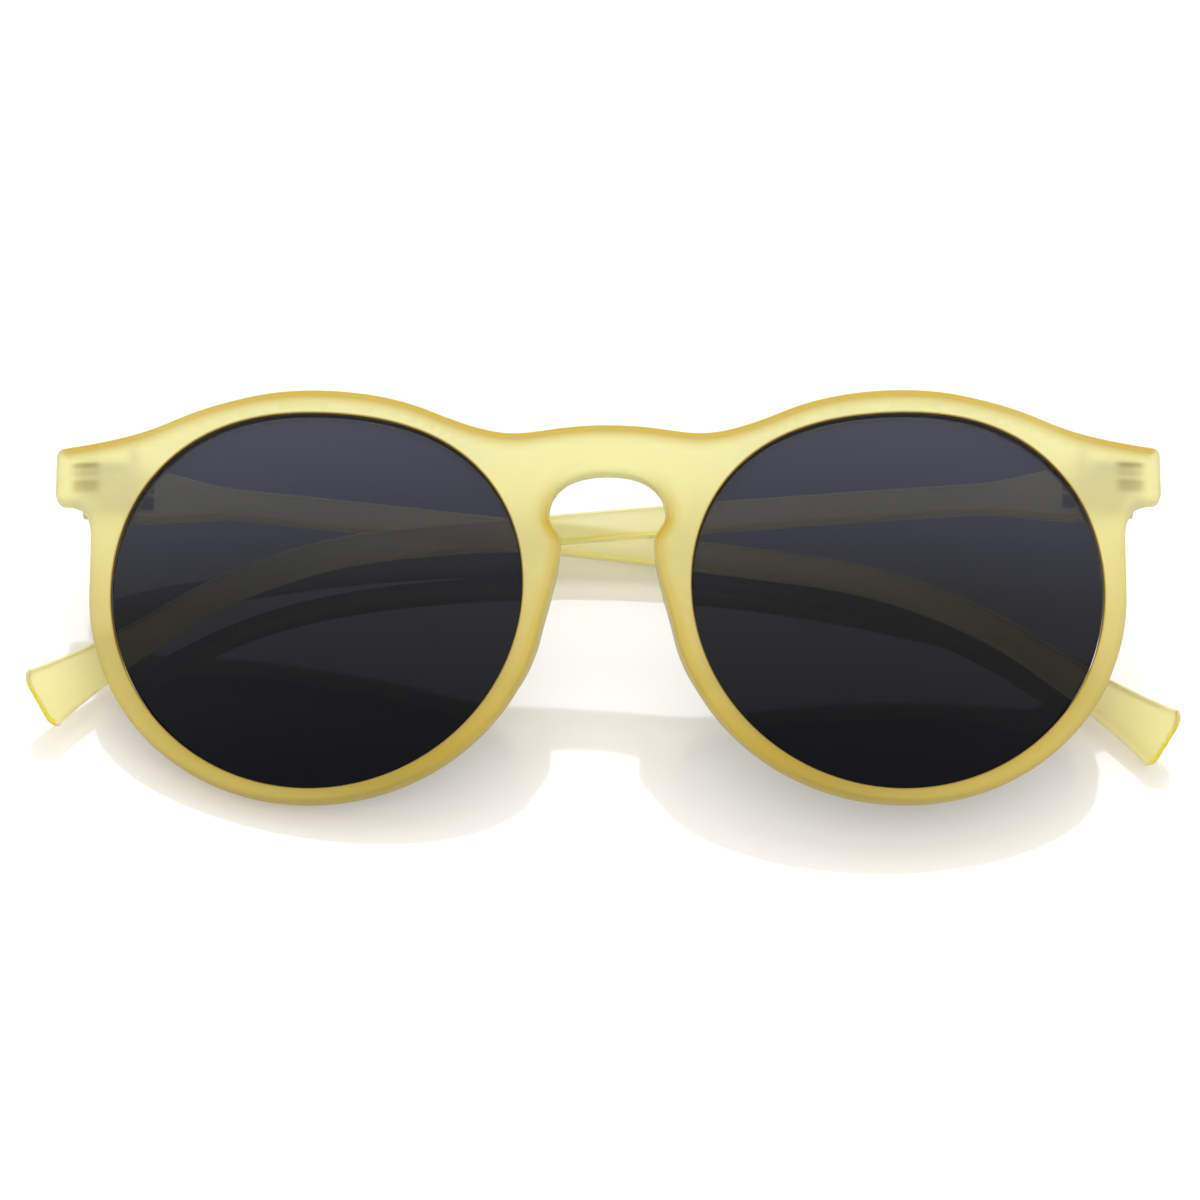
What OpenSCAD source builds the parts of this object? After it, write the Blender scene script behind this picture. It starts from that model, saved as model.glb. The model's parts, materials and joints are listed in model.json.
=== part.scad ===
// Round sunglasses in millimetres: a bowed keyhole front, two dark lenses and two folding temples.
// They lie folded and face up on three points: the rim under the right lens, and the bow and the
// tip of the right temple, which is folded over the left one. Left and right are the wearer's.

/* [Front] */
// Thickness of the front, face to back
front_t = 4; // [3.8:0.1:4.6]
// Radius of the front's bow, seen from above
front_bow_r = 450; // [400:10:600]
// Width of the rim beside the lens
rim_w = 2.9; // [2.4:0.1:3.4]
// Width of the rim above the lens
rim_top_w = 3.2; // [2.6:0.1:3.6]
// Width of the rim below the lens
rim_low_w = 1.6; // [1.3:0.1:2.4]

/* [Lens openings] */
// Width of a lens opening
opening_w = 51.8; // [49:0.2:54]
// Height of a lens opening
opening_h = 48.4; // [46:0.2:49]
// Gap between the two openings, over the nose
opening_gap = 21.2; // [20:0.2:24]
// How sharply the flat top of an opening turns into its round sides
flat_power = 3.7; // [3:0.1:5]
// Direction of the middle of that flat top: 90 is straight up and more leans to the nose
flat_dir = 95; // [90:1:100]

/* [Lenses] */
// Thickness of a lens
lens_t = 1.6; // [1.2:0.1:1.8]
// Radius of the lens's front surface
lens_r = 150; // [130:5:200]
// Depth of the groove that holds the lens's edge
groove_deep = 0.8; // [0.5:0.1:1]
// How far the lens's edge lies behind the front's face
lens_back = 1.5; // [1.4:0.05:1.6]
// Gap between the lens and its groove
seat_gap = 0.03; // [0.02:0.01:0.06]

/* [Bridge] */
// Height of the bridge's top above the middle of the lenses
bridge_rise = 20.7; // [19.8:0.1:21.6]
// Height of the keyhole's top above the middle of the lenses
keyhole_rise = 14.5; // [13.6:0.1:15.1]
// Widest part of the keyhole
keyhole_w = 14.6; // [13.6:0.1:15.6]
// Depth of the keyhole's round top, down to its widest part
keyhole_drop = 5.5; // [4.8:0.1:6.2]
// Width of the keyhole's waist
waist_w = 11.7; // [10.6:0.1:12.8]
// Height of the waist above the middle of the lenses
waist_rise = 5.3; // [4:0.1:6.4]

/* [Nose pads] */
// Height of a moulded nose pad, along the rim
pad_h = 17; // [14:0.5:18]
// How far a nose pad stands out behind the front
pad_out = 2.8; // [2:0.1:3.6]
// How far the middle of a nose pad lies below the middle of the lenses
pad_drop = 4.6; // [3.6:0.1:5.6]

/* [End pieces] */
// How far an end piece stands out past the rim
end_out = 4.7; // [4.4:0.1:6]
// Height of an end piece's top above the middle of the lenses
end_rise = 19.2; // [18.4:0.1:19.8]
// Height of an end piece, and of the temple's root that meets it
end_h = 7; // [6.6:0.1:7.6]
// Depth of an end piece's flat back, behind the front's face at the nose
mitre_d = 9.8; // [9.7:0.1:11]
// Radius of an end piece's corners
end_corner_r = 1; // [0.6:0.1:1.6]

/* [Temples] */
// Length of a temple from its hinge pin, along its middle
temple_len = 149; // [143:0.5:154]
// Radius of the temple's bow around the head
temple_bow_r = 214; // [190:2:240]
// Length from the pin to where the temple bows more, behind the head
tip_bow_start = 104; // [96:1:112]
// Radius of that closer bow
tip_bow_r = 92; // [80:1:120]
// Height of a temple along its middle
temple_h = 3.8; // [3.2:0.1:4.4]
// Height of the paddle at a temple's tip
temple_tip_h = 8; // [7:0.1:9.5]
// Thickness of a temple at its root
temple_root_t = 2.7; // [2.5:0.1:3.2]
// Thickness of a temple at its tip
temple_tip_t = 2.1; // [1.8:0.1:2.4]
// Length of the nearly straight part, from the pin to the bend behind the ear
bend_start = 94.5; // [87:0.5:99]
// Radius of the bend behind the ear
bend_r = 65; // [58:1:78]
// Slope of the temple where that bend starts, in degrees
arm_slope = 8.4; // [7:0.1:10]
// Slope of the temple after the bend, in degrees
tip_slope = 36; // [33:0.2:40]
// Length of the flared paddle
paddle_len = 28; // [22:0.5:32]
// Radius of the paddle's corners
tip_corner_r = 1.7; // [1.2:0.1:2.4]
// How far each temple is turned in from straight back, when open, in degrees
tip_in = 2; // [0:0.5:4]

/* [Hinges] */
// How far a hinge pin lies inside the end piece's outer side
pin_inset = 4; // [3.8:0.1:4.6]
// Radius of the hinge's barrels
barrel_r = 1.15; // [1:0.05:1.2]
// Radius of the screw that serves as the hinge pin
pin_r = 0.55; // [0.45:0.05:0.65]
// Height of the three barrels together
hinge_h = 4; // [3.6:0.1:4.4]
// Length of the leaf in the temple
temple_leaf_len = 8.6; // [7:0.1:10]
// Length of the leaf in the end piece
front_leaf_len = 4.6; // [4:0.1:5]
// Thickness of both leaves
leaf_t = 0.9; // [0.7:0.05:1]
// Width of the web that joins a barrel to its leaf
web_w = 1; // [0.8:0.1:1.2]
// Radius of the screw's head
head_r = 0.95; // [0.8:0.05:1]
// Height of the screw's head
head_h = 0.45; // [0.35:0.05:0.6]
// Width of the screwdriver slot
slot_w = 0.3; // [0.2:0.05:0.4]
// Depth of the screwdriver slot
slot_deep = 0.25; // [0.15:0.05:0.3]
// Radial gap between the screw and the barrels that turn on it
pin_gap = 0.05; // [0.02:0.01:0.1]
// Radial gap between the screw and the barrel that it is screwed into
thread_gap = 0.02; // [0.01:0.01:0.04]
// Gap between neighbouring barrels
barrel_gap = 0.06; // [0.04:0.01:0.12]
// Gap around the barrels, to the end piece and to the temple
hinge_gap = 0.12; // [0.1:0.01:0.2]

/* [Folded temples] */
// Gap between the folded left temple and the back of the far rim
fold_gap = 0.4; // [0.3:0.1:1.5]
// Least gap between the two folded temples where they cross
cross_gap = 0.2; // [0.15:0.05:1]
// Tilt of each hinge in the front: the left temple rides up by it and the right one hangs down
cross_tilt = 0.75; // [0.6:0.05:1.2]

/* [Hidden] */

frost_yellow = [0.97, 0.93, 0.55];
smoke_grey = [0.12, 0.13, 0.16, 0.85];
steel = [0.72, 0.72, 0.70];

// The wearer's sides, seen by someone who looks at the face of the front
LEFT = 1;
RIGHT = -1;

// Steps of the curves
outline_steps = 72;
curve_steps = 14;
edge_steps = 50;
plan_steps = 36;
corner_steps = 6;
round_fn = 48;
bow_fn = 360;
lens_fn = 240;
// How far cutters run past what they cut, and the size of those that take all before a plane
past = 0.5;
cutter = 40;

// Lens openings, rims and end pieces, in the front's own frame: +X to the wearer's left,
// +Y up from the lowest point of the rims and +Z forward from the front's face at the nose
opening_r = opening_w / 2;
opening_flat = opening_w - opening_h;
lens_x = (opening_gap + opening_w) / 2;
lens_y = opening_r + rim_low_w;
lens_tilt = asin(lens_x / front_bow_r);
lens_rise = lens_r - sqrt(lens_r * lens_r - opening_r * opening_r);
rim_side = lens_x + opening_r + rim_w;
end_x = rim_side + end_out;
end_top = lens_y + end_rise;
end_low = end_top - end_h;
bridge_top = lens_y + bridge_rise;
keyhole_top = lens_y + keyhole_rise;

// Hinges
pin_x = end_x - pin_inset;
pin_y = end_top - end_h / 2;
face_gap = barrel_r + hinge_gap;
pin_d = mitre_d + face_gap;
barrel_h = (hinge_h - 2 * barrel_gap) / 3;
// Plastic that is left beside a leaf's end
leaf_wall = 0.6;

// Temples: the slope at the pin, and the lengths at each end of the root's taper
root_slope = -1;
root_len = 6;
taper_len = 14;
// How fast the paddle flares
flare_power = 2.5;
// How far the root is drawn past the pin before its butt is cut
root_past = 3;

// Points of one cubic curve, and of a round corner
function curve(a, b, c, d) = [
    for (i = [0:curve_steps])
        let (t = i / curve_steps, u = 1 - t)
        u * u * u * a + 3 * u * u * t * b + 3 * u * t * t * c + t * t * t * d
];
function corner(centre, r, from, to) = [
    for (i = [0:corner_steps])
        let (a = from + (to - from) * i / corner_steps)
        centre + r * [cos(a), sin(a)]
];
function reverse(list) = [for (i = [len(list) - 1:-1:0]) list[i]];

// Radius of a lens opening about its middle, with angle 0 towards the temple
function lens_edge_r(a, grow) =
    opening_r + grow - opening_flat * pow(max(0, cos(a - flat_dir)), flat_power);
function rim_r(a) =
    lens_edge_r(a, rim_w)
    + (rim_top_w - rim_w) * pow(max(0, sin(a)), 2)
    + (rim_low_w - rim_w) * pow(max(0, -sin(a)), 2);
function rim_point(a) = [lens_x, lens_y] + rim_r(a) * [cos(a), sin(a)];
// How far the bowed face lies behind the face at the nose
function bow_d(x) = front_bow_r - sqrt(front_bow_r * front_bow_r - x * x);

module both_sides() {
    children();
    mirror([1, 0, 0]) children();
}

// Pieces are drawn for the left and mirrored for the right
module on_side(side) {
    mirror([side == RIGHT ? 1 : 0, 0, 0]) children();
}

module lens_outline(grow) {
    polygon([
        for (i = [0:outline_steps - 1])
            let (a = i * 360 / outline_steps)
            lens_edge_r(a, grow) * [cos(a), sin(a)]
    ]);
}

// Where the brow leaves the rim on its nose side and on its temple side
brow_in_dir = 122;
brow_out_dir = 71;
brow_in = rim_point(brow_in_dir);
brow_out = rim_point(brow_out_dir);
// Where the side of the nose meets the rim
nose_dir = 191;
nose_low = rim_point(nose_dir);
keyhole_wide = [keyhole_w / 2, keyhole_top - keyhole_drop];
keyhole_waist = [waist_w / 2, lens_y + waist_rise];
// Pulls on the curves: along the bridge, over the end piece, in the keyhole and under the end piece
bridge_pull = 11;
brow_in_pull = [12.1, 5.3];
brow_out_pull = [12.4, -2.4];
shoulder_pull = [15, -1.7];
keyhole_top_pull = 5.4;
keyhole_pull = 3;
waist_pull = 1.6;
nose_pull = [-0.8, 3.5];
fillet_start = 0.4;
fillet_reach = 5;
fillet_pull = 2.4;

brow_curve = curve(
    [0, bridge_top], [bridge_pull, bridge_top], brow_in - brow_in_pull, brow_in
);
keyhole_curve = concat(
    curve([0, keyhole_top], [keyhole_top_pull, keyhole_top],
          keyhole_wide + [0, keyhole_pull], keyhole_wide),
    curve(keyhole_wide, keyhole_wide - [0, waist_pull],
          keyhole_waist + [0, waist_pull], keyhole_waist),
    curve(keyhole_waist, keyhole_waist - [0, keyhole_pull], nose_low + nose_pull, nose_low)
);
bridge_outline = concat(brow_curve, [[lens_x, lens_y]], reverse(keyhole_curve));

end_outline = concat(
    curve(brow_out, brow_out + brow_out_pull, [end_x - end_corner_r, end_top] - shoulder_pull,
          [end_x - end_corner_r, end_top]),
    corner([end_x - end_corner_r, end_top - end_corner_r], end_corner_r, 90, 0),
    corner([end_x - end_corner_r, end_low + end_corner_r], end_corner_r, 0, -90),
    curve([end_x - end_corner_r - fillet_start, end_low], [rim_side + fillet_pull / 2, end_low],
          [rim_side, end_low - fillet_pull], [rim_side, end_low - fillet_reach]),
    [[rim_side, lens_y], [lens_x, lens_y]]
);

module front_outline() {
    both_sides() {
        polygon([
            for (i = [0:outline_steps - 1])
                rim_point(i * 360 / outline_steps)
        ]);
        polygon(bridge_outline);
        polygon(end_outline);
    }
}

// A wall that follows the front's bow, from its face to a depth behind it
module bow_wall(deep) {
    high = rim_low_w + opening_h + 2 * rim_top_w;
    translate([0, 0, -front_bow_r])
        rotate([-90, 0, 0])
        difference() {
            translate([0, 0, -past])
                cylinder(h = high + 2 * past, r = front_bow_r, $fn = bow_fn);
            translate([0, 0, -2 * past])
                cylinder(h = high + 4 * past, r = front_bow_r - deep, $fn = bow_fn);
        }
}

// A nose pad, a low round swelling of the rim's back beside the nose
module nose_pad() {
    pad_r = (pow(pad_h / 2, 2) + pow(pad_out, 2)) / (2 * pad_out);
    intersection() {
        translate([0, 0, -mitre_d]) linear_extrude(mitre_d - front_t / 2) front_outline();
        translate([0, lens_y - pad_drop, pad_r - pad_out - front_t])
            rotate([0, 90, 0])
            cylinder(h = lens_x - opening_r / 2, r = pad_r, $fn = bow_fn);
    }
}

// The block behind each end piece, whose flat back the open temple stops against
module end_block() {
    inner_x = pin_x - front_leaf_len - leaf_wall;
    translate([0, 0, -mitre_d])
        linear_extrude(mitre_d - bow_d(end_x) - front_t / 2)
        intersection() {
            polygon(end_outline);
            translate([inner_x, end_low]) square([end_x - inner_x, end_h]);
        }
}

// A lens's own frame: its middle on the bowed face and its axis square to that face
module at_lens(side) {
    on_side(side)
        translate([lens_x, lens_y, -bow_d(lens_x)])
        rotate([0, lens_tilt, 0])
        children();
}

module lens_solid(gap) {
    deep = lens_t + 2 * lens_rise;
    intersection() {
        translate([0, 0, -lens_back - deep])
            linear_extrude(2 * deep)
            lens_outline(groove_deep + gap);
        translate([0, 0, lens_rise - lens_back - lens_r])
            difference() {
                sphere(r = lens_r + gap, $fn = lens_fn);
                sphere(r = lens_r - lens_t - gap, $fn = lens_fn);
            }
    }
}

module front_frame() {
    color(frost_yellow)
    difference() {
        union() {
            intersection() {
                translate([0, 0, -mitre_d]) linear_extrude(mitre_d) front_outline();
                bow_wall(front_t);
            }
            both_sides() nose_pad();
            both_sides() end_block();
        }
        for (side = [LEFT, RIGHT]) {
            at_lens(side) {
                linear_extrude(2 * mitre_d, center = true) lens_outline(0);
                lens_solid(seat_gap);
            }
            at_hinge(side) leaf_plate(-front_leaf_len, web_w / 2, past);
        }
    }
}

module lens(side) {
    color(smoke_grey) at_lens(side) lens_solid(0);
}

// A temple's side view: its middle line unrolled, from the pin, at a length t along it
bend_len = bend_r * (tip_slope - arm_slope) * PI / 180;
arm_r = bend_start / (arm_slope - root_slope) * 180 / PI;
function arm_turn(t) = root_slope + (arm_slope - root_slope) * min(1, t / bend_start);
function bend_turn(t) =
    arm_slope + (tip_slope - arm_slope) * min(1, max(0, (t - bend_start) / bend_len));
function slope(t) = t < bend_start ? arm_turn(t) : bend_turn(t);
function along(a) = [cos(a), -sin(a)];
function across(a) = [sin(a), cos(a)];
function side_mid(t) =
    arm_r * (across(arm_turn(t)) - across(root_slope))
    + bend_r * (across(bend_turn(t)) - across(arm_slope))
    + max(0, t - bend_start - bend_len) * along(tip_slope);

function ease(x) = x <= 0 ? 0 : x >= 1 ? 1 : x * x * (3 - 2 * x);
function flare(t) = pow(max(0, (t - temple_len + paddle_len) / paddle_len), flare_power);
function temple_height(t) =
    temple_h
    + (end_h - temple_h) * (1 - ease((t - root_len) / taper_len))
    + (temple_tip_h - temple_h) * flare(t);
function side_edge(i, up) =
    let (t = -root_past + (temple_len - tip_corner_r + root_past) * i / edge_steps)
    side_mid(t) + up * temple_height(t) / 2 * across(slope(t));
function tip_corner(up) =
    side_mid(temple_len) - tip_corner_r * along(tip_slope)
    + up * (temple_tip_h / 2 - tip_corner_r) * across(tip_slope);
// The paddle's corners turn a little less than a right angle, because its edges flare
corner_turn = 75;
side_points = concat(
    [for (i = [0:edge_steps]) side_edge(i, 1)],
    corner(tip_corner(1), tip_corner_r, corner_turn - tip_slope, -tip_slope),
    corner(tip_corner(-1), tip_corner_r, -tip_slope, -corner_turn - tip_slope),
    [for (i = [edge_steps:-1:0]) side_edge(i, -1)]
);

// A temple's plan: its inner side, at a length l along it, and the direction square to that side
reach = side_mid(temple_len)[0];
function bow(l) = min(l, tip_bow_start) / temple_bow_r * 180 / PI;
function tip_bow(l) = bow(l) + max(0, l - tip_bow_start) / tip_bow_r * 180 / PI;
function outward(a) = [sin(a), cos(a)];
function inner_side(l) =
    [0, face_gap] + temple_bow_r * (outward(bow(l)) - outward(0))
    + tip_bow_r * (outward(tip_bow(l)) - outward(bow(l)));
function thickness(l) = temple_root_t + (temple_tip_t - temple_root_t) * max(0, l) / reach;
function outer_side(l) = inner_side(l) + thickness(l) * outward(tip_bow(l));
// Lengths along the plan, drawn some steps past both of its ends
past_steps = 3;
plan_lengths = [for (i = [-past_steps:plan_steps + past_steps]) i * reach / plan_steps];

// The straight line from root to tip, and where a length along the inner side lies on it
chord = inner_side(reach) - [0, face_gap];
chord_turn = atan2(-chord[1], chord[0]);
root_out = chord_turn - tip_in;
function on_chord(l) = (inner_side(l) - [0, face_gap]) * chord / norm(chord);

// A point of that plan folded: how far across the front it lies, and how far before the pin
function folded(f, p) = [p[0] * cos(f) - p[1] * sin(f), -p[0] * sin(f) - p[1] * cos(f)];
function inner_z(f, x) = lookup(x, [for (l = plan_lengths) folded(f, inner_side(l))]);
function outer_z(f, x) = lookup(x, [for (l = plan_lengths) folded(f, outer_side(l))]);
// Fold that lays the inner side through a point x across and z before the pin, by repeated trial
trials = 6;
start_fold = 18;
function fold_to(x, z, f = start_fold, left = trials) =
    left == 0 ? f : fold_to(x, z, f + (inner_z(f, x) - z) / x * 180 / PI, left - 1);

// The left temple folds first and passes behind the side of the far rim
far_rim_dir = -17;
far_rim = rim_point(far_rim_dir);
left_fold = fold_to(pin_x + far_rim[0], pin_d - bow_d(far_rim[0]) - front_t - fold_gap);

// Where the folded temples cross, seen from the front: the places x past the middle at which
// their middle lines lie nearer than a temple's height
mid_line = [
    for (i = [0:edge_steps])
        let (p = side_mid(i * temple_len / edge_steps))
        [folded(left_fold, inner_side(p[0]))[0], p[1]]
];
function apart(x) =
    lookup(pin_x - x, mid_line) - lookup(pin_x + x, mid_line) + 2 * pin_x * sin(cross_tilt);
crossing = [
    for (i = [-plan_steps:plan_steps])
        let (x = i * lens_x / plan_steps)
        if (abs(apart(x)) < temple_h + cross_gap) x
];
// The right temple folds over the left one and clears it all along the crossing
right_fold = max([
    for (x = crossing)
        fold_to(pin_x + x, outer_z(left_fold, pin_x - x) - cross_gap)
]);
function fold(side) = side == LEFT ? left_fold : right_fold;
function tilt(side) = side == LEFT ? -cross_tilt : cross_tilt;

// A hinge's own frame: the pin stands along Y, with +X outwards and +Z forwards
module at_hinge(side) {
    on_side(side)
        translate([pin_x, pin_y, -pin_d])
        rotate([0, 0, tilt(side)])
        children();
}

// A temple's own frame: +X along its root, +Y up and +Z away from the head
module at_temple(side) {
    at_hinge(side) rotate([0, 180 - fold(side), 0]) children();
}

module along_pin() {
    rotate([-90, 0, 0]) children();
}

// A leaf's plate, from one place to another across the pin, with its front open by a margin
module leaf_plate(from, to, open) {
    translate([from, -hinge_h / 2, face_gap - open])
        cube([to - from, hinge_h, leaf_t + open]);
}

// One barrel of a hinge with its bore, and the web that joins it to its leaf
module barrel(from, bore_r) {
    difference() {
        translate([0, from, 0]) {
            along_pin() cylinder(h = barrel_h, r = barrel_r, $fn = round_fn);
            translate([-web_w / 2, 0, 0]) cube([web_w, barrel_h, face_gap + leaf_t / 2]);
        }
        translate([0, from - past, 0])
            along_pin() cylinder(h = barrel_h + 2 * past, r = bore_r, $fn = round_fn);
    }
}

module front_leaf(side) {
    color(steel) at_hinge(side) {
        leaf_plate(-front_leaf_len, web_w / 2, 0);
        barrel(-barrel_h / 2, pin_r + pin_gap);
    }
}

module temple_leaf(side) {
    color(steel) at_temple(side) {
        leaf_plate(-web_w / 2, temple_leaf_len, 0);
        barrel(barrel_h / 2 + barrel_gap, pin_r + pin_gap);
        barrel(-hinge_h / 2, pin_r + thread_gap);
    }
}

module hinge_screw(side) {
    color(steel) at_temple(side)
    difference() {
        translate([0, -hinge_h / 2, 0])
            along_pin() {
                cylinder(h = hinge_h, r = pin_r, $fn = round_fn);
                translate([0, 0, hinge_h]) cylinder(h = head_h, r = head_r, $fn = round_fn);
            }
        translate([-head_r - past, hinge_h / 2 + head_h - slot_deep, -slot_w / 2])
            cube([2 * (head_r + past), slot_deep + past, slot_w]);
    }
}

// The temple seen from above, a bowed strip that thins towards its tip
module temple_plan() {
    polygon(concat(
        [for (l = plan_lengths) inner_side(l)],
        reverse([for (l = plan_lengths) outer_side(l)])
    ));
}

module temple(side) {
    color(frost_yellow)
    at_temple(side)
    difference() {
        intersection() {
            along_pin()
                mirror([0, 1, 0])
                linear_extrude(4 * lens_y, center = true)
                temple_plan();
            translate([0, 0, face_gap])
                rotate([0, chord_turn, 0])
                linear_extrude(temple_len, center = true)
                polygon([for (p = side_points) [on_chord(p[0]), p[1]]]);
        }
        // The butt, which lies flat against the end piece when the temple is open
        rotate([0, root_out - 90, 0])
            translate([0, 0, barrel_r + cutter / 2])
            cube(cutter, center = true);
        leaf_plate(-root_past, temple_leaf_len, past);
    }
}

// A point of a folded temple in the front's frame: p is on the unrolled side view, and out is
// 0 on the inner side and 1 on the outer side
function temple_point(side, p, out) =
    let (
        t = out * thickness(p[0]) / cos(tip_bow(p[0]) - chord_turn),
        q = folded(fold(side), inner_side(p[0]) + t * outward(chord_turn)),
        k = tilt(side)
    )
    [
        side * (pin_x - q[0] * cos(k) - p[1] * sin(k)),
        pin_y - q[0] * sin(k) + p[1] * cos(k),
        q[1] - pin_d
    ];
function temple_points(side, out) = [for (p = side_points) temple_point(side, p, out)];
function rim_points(side, deep) = [
    for (i = [0:outline_steps - 1])
        let (p = rim_point(i * 360 / outline_steps))
        [side * p[0], p[1], -bow_d(p[0]) - deep]
];

// What the sunglasses can stand on: the right rim, and the right temple's tip and bow
rim_feet = rim_points(RIGHT, front_t);
tip_feet = [for (p = temple_points(RIGHT, 1)) if (p[0] > lens_x) p];
bow_feet = [for (p = temple_points(RIGHT, 1)) if (abs(p[0]) < lens_x) p];
function lowest(points, up) =
    let (low = min([for (p = points) p * up]))
    [for (p = points) if (p * up == low) p][0];
function normal(a, b, c) = let (n = cross(b - a, c - a)) n / norm(n) * sign(n[2]);
// The way up that puts the lowest point of each foot on the floor, found by repeated trial
function settle(up, left) =
    left == 0 ? up : settle(
        normal(lowest(rim_feet, up), lowest(tip_feet, up), lowest(bow_feet, up)), left - 1
    );
start_up = [0, 0.5, 0.87];
up = settle(start_up, trials);
lean = atan2(up[1], up[2]);
roll = asin(up[0]);

function lying(p) =
    let (y = p[1] * cos(lean) - p[2] * sin(lean), z = p[1] * sin(lean) + p[2] * cos(lean))
    [p[0] * cos(roll) - z * sin(roll), y, p[0] * sin(roll) + z * cos(roll)];
outermost = [
    for (p = concat(
        rim_points(LEFT, 0), rim_points(LEFT, front_t), rim_points(RIGHT, 0), rim_feet,
        temple_points(LEFT, 0), temple_points(LEFT, 1), temple_points(RIGHT, 0),
        temple_points(RIGHT, 1)
    )) lying(p)
];
function middle(values) = (min(values) + max(values)) / 2;
centre_x = middle([for (p = outermost) p[0]]);
centre_y = middle([for (p = outermost) p[1]]);
floor_z = min([for (p = outermost) p[2]]);

// Puts the folded sunglasses on the floor, with the middle of their outline over the origin
module on_floor() {
    translate([-centre_x, -centre_y, -floor_z])
        rotate([lean, -roll, 0])
        children();
}

on_floor() front_frame();
on_floor() lens(LEFT);  // lens_left
on_floor() lens(RIGHT);  // lens_right
on_floor() temple(LEFT);  // temple_left
on_floor() temple(RIGHT);  // temple_right
on_floor() front_leaf(LEFT);  // front_hinge_leaf_left
on_floor() front_leaf(RIGHT);  // front_hinge_leaf_right
on_floor() temple_leaf(LEFT);  // temple_hinge_leaf_left
on_floor() temple_leaf(RIGHT);  // temple_hinge_leaf_right
on_floor() hinge_screw(LEFT);  // hinge_screw_left
on_floor() hinge_screw(RIGHT);  // hinge_screw_right
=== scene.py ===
"""Round sunglasses, folded and lying face up: frosted yellow plastic, dark lenses, steel hinges."""

import json
import logging
import math
from dataclasses import dataclass
from enum import Enum
from functools import cached_property
from typing import Callable

import bmesh
import bpy
import numpy as np
from mathutils import Matrix, Vector
from mathutils.geometry import delaunay_2d_cdt


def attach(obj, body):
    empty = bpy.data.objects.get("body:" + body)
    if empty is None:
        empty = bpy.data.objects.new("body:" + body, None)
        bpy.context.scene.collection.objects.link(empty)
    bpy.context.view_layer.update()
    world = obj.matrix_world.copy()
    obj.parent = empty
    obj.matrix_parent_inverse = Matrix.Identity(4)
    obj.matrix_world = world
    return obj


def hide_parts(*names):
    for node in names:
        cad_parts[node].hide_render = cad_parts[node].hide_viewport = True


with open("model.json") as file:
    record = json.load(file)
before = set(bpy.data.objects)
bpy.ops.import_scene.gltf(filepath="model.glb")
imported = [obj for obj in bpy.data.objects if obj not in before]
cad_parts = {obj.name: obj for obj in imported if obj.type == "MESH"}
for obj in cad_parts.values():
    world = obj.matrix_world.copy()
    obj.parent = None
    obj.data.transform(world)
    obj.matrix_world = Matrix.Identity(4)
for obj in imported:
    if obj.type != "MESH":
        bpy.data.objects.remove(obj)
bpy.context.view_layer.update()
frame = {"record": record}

logging.basicConfig(level=logging.INFO, format="%(message)s")
LOG = logging.getLogger("sunglasses")

MM = 0.001
Point2 = tuple[float, float]
Point3 = tuple[float, float, float]
Colour = tuple[float, float, float]
Stops = tuple[tuple[float, float | Colour], ...]
Loop = list[Point2]
Placer = Callable[[float, float, float], Vector]
Socket = bpy.types.NodeSocket
Material = bpy.types.Material
Piece = bpy.types.Object


class Side(Enum):
    """The wearer's sides, by the sign of X."""

    LEFT = 1
    RIGHT = -1

    @property
    def word(self) -> str:
        """The side's name in lower case."""
        return self.name.lower()

    @property
    def body(self) -> str:
        """The body that this side's temple belongs to."""
        return f"{self.word}_temple"


def smooth(x: float) -> float:
    """A soft step from 0 at x = 0 to 1 at x = 1."""
    x = min(1.0, max(0.0, x))
    return x * x * (3 - 2 * x)


def cubic(a: Point2, b: Point2, c: Point2, d: Point2, steps: int) -> Loop:
    """Points of one cubic curve.

    Args:
        a: where it starts.
        b: the pull at its start.
        c: the pull at its end.
        d: where it ends.
        steps: how many stretches it has.

    Returns:
        The points, both ends included.
    """
    points = []
    for i in range(steps + 1):
        t = i / steps
        k = ((1 - t) ** 3, 3 * (1 - t) ** 2 * t, 3 * (1 - t) * t * t, t ** 3)
        points.append(tuple(sum(w * p[j] for w, p in zip(k, (a, b, c, d))) for j in (0, 1)))
    return points


def polar(r: float, a: float) -> Point2:
    """A point at a distance from the middle and at an angle in degrees."""
    return r * math.cos(math.radians(a)), r * math.sin(math.radians(a))


def corner(centre: Point2, r: float, start: float, end: float, steps: int) -> Loop:
    """Points of a round corner, from one angle to another in degrees."""
    turned = [polar(r, start + (end - start) * i / steps) for i in range(steps + 1)]
    return [(centre[0] + x, centre[1] + y) for x, y in turned]


def resample(loop: Loop, spacing: float) -> Loop:
    """Spreads points evenly round a closed loop.

    Args:
        loop: the loop's points in order.
        spacing: the wanted distance between points.

    Returns:
        As many points as fit, evenly spaced.
    """
    p = np.array(loop + [loop[0]])
    gaps = np.hypot(*np.diff(p, axis=0).T)
    keep = np.concatenate([[True], gaps > 1e-6])
    p, gaps = p[keep], gaps[gaps > 1e-6]
    run = np.concatenate([[0.0], np.cumsum(gaps)])
    at = np.linspace(0, run[-1], int(round(run[-1] / spacing)) + 1)[:-1]
    return list(zip(np.interp(at, run, p[:, 0]), np.interp(at, run, p[:, 1])))


def inside(points: np.ndarray, loop: np.ndarray) -> np.ndarray:
    """Which of the points lie inside a closed loop.

    Args:
        points: the points, one a row.
        loop: the loop's points, one a row.

    Returns:
        True or False for each point.
    """
    x, y = points[:, 0][:, None], points[:, 1][:, None]
    x0, y0 = loop[:, 0][None], loop[:, 1][None]
    x1, y1 = np.roll(x0, -1), np.roll(y0, -1)
    with np.errstate(divide="ignore", invalid="ignore"):
        cross = ((y0 > y) != (y1 > y)) & (x < (x1 - x0) * (y - y0) / (y1 - y0) + x0)
    return cross.sum(axis=1) % 2 == 1


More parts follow.
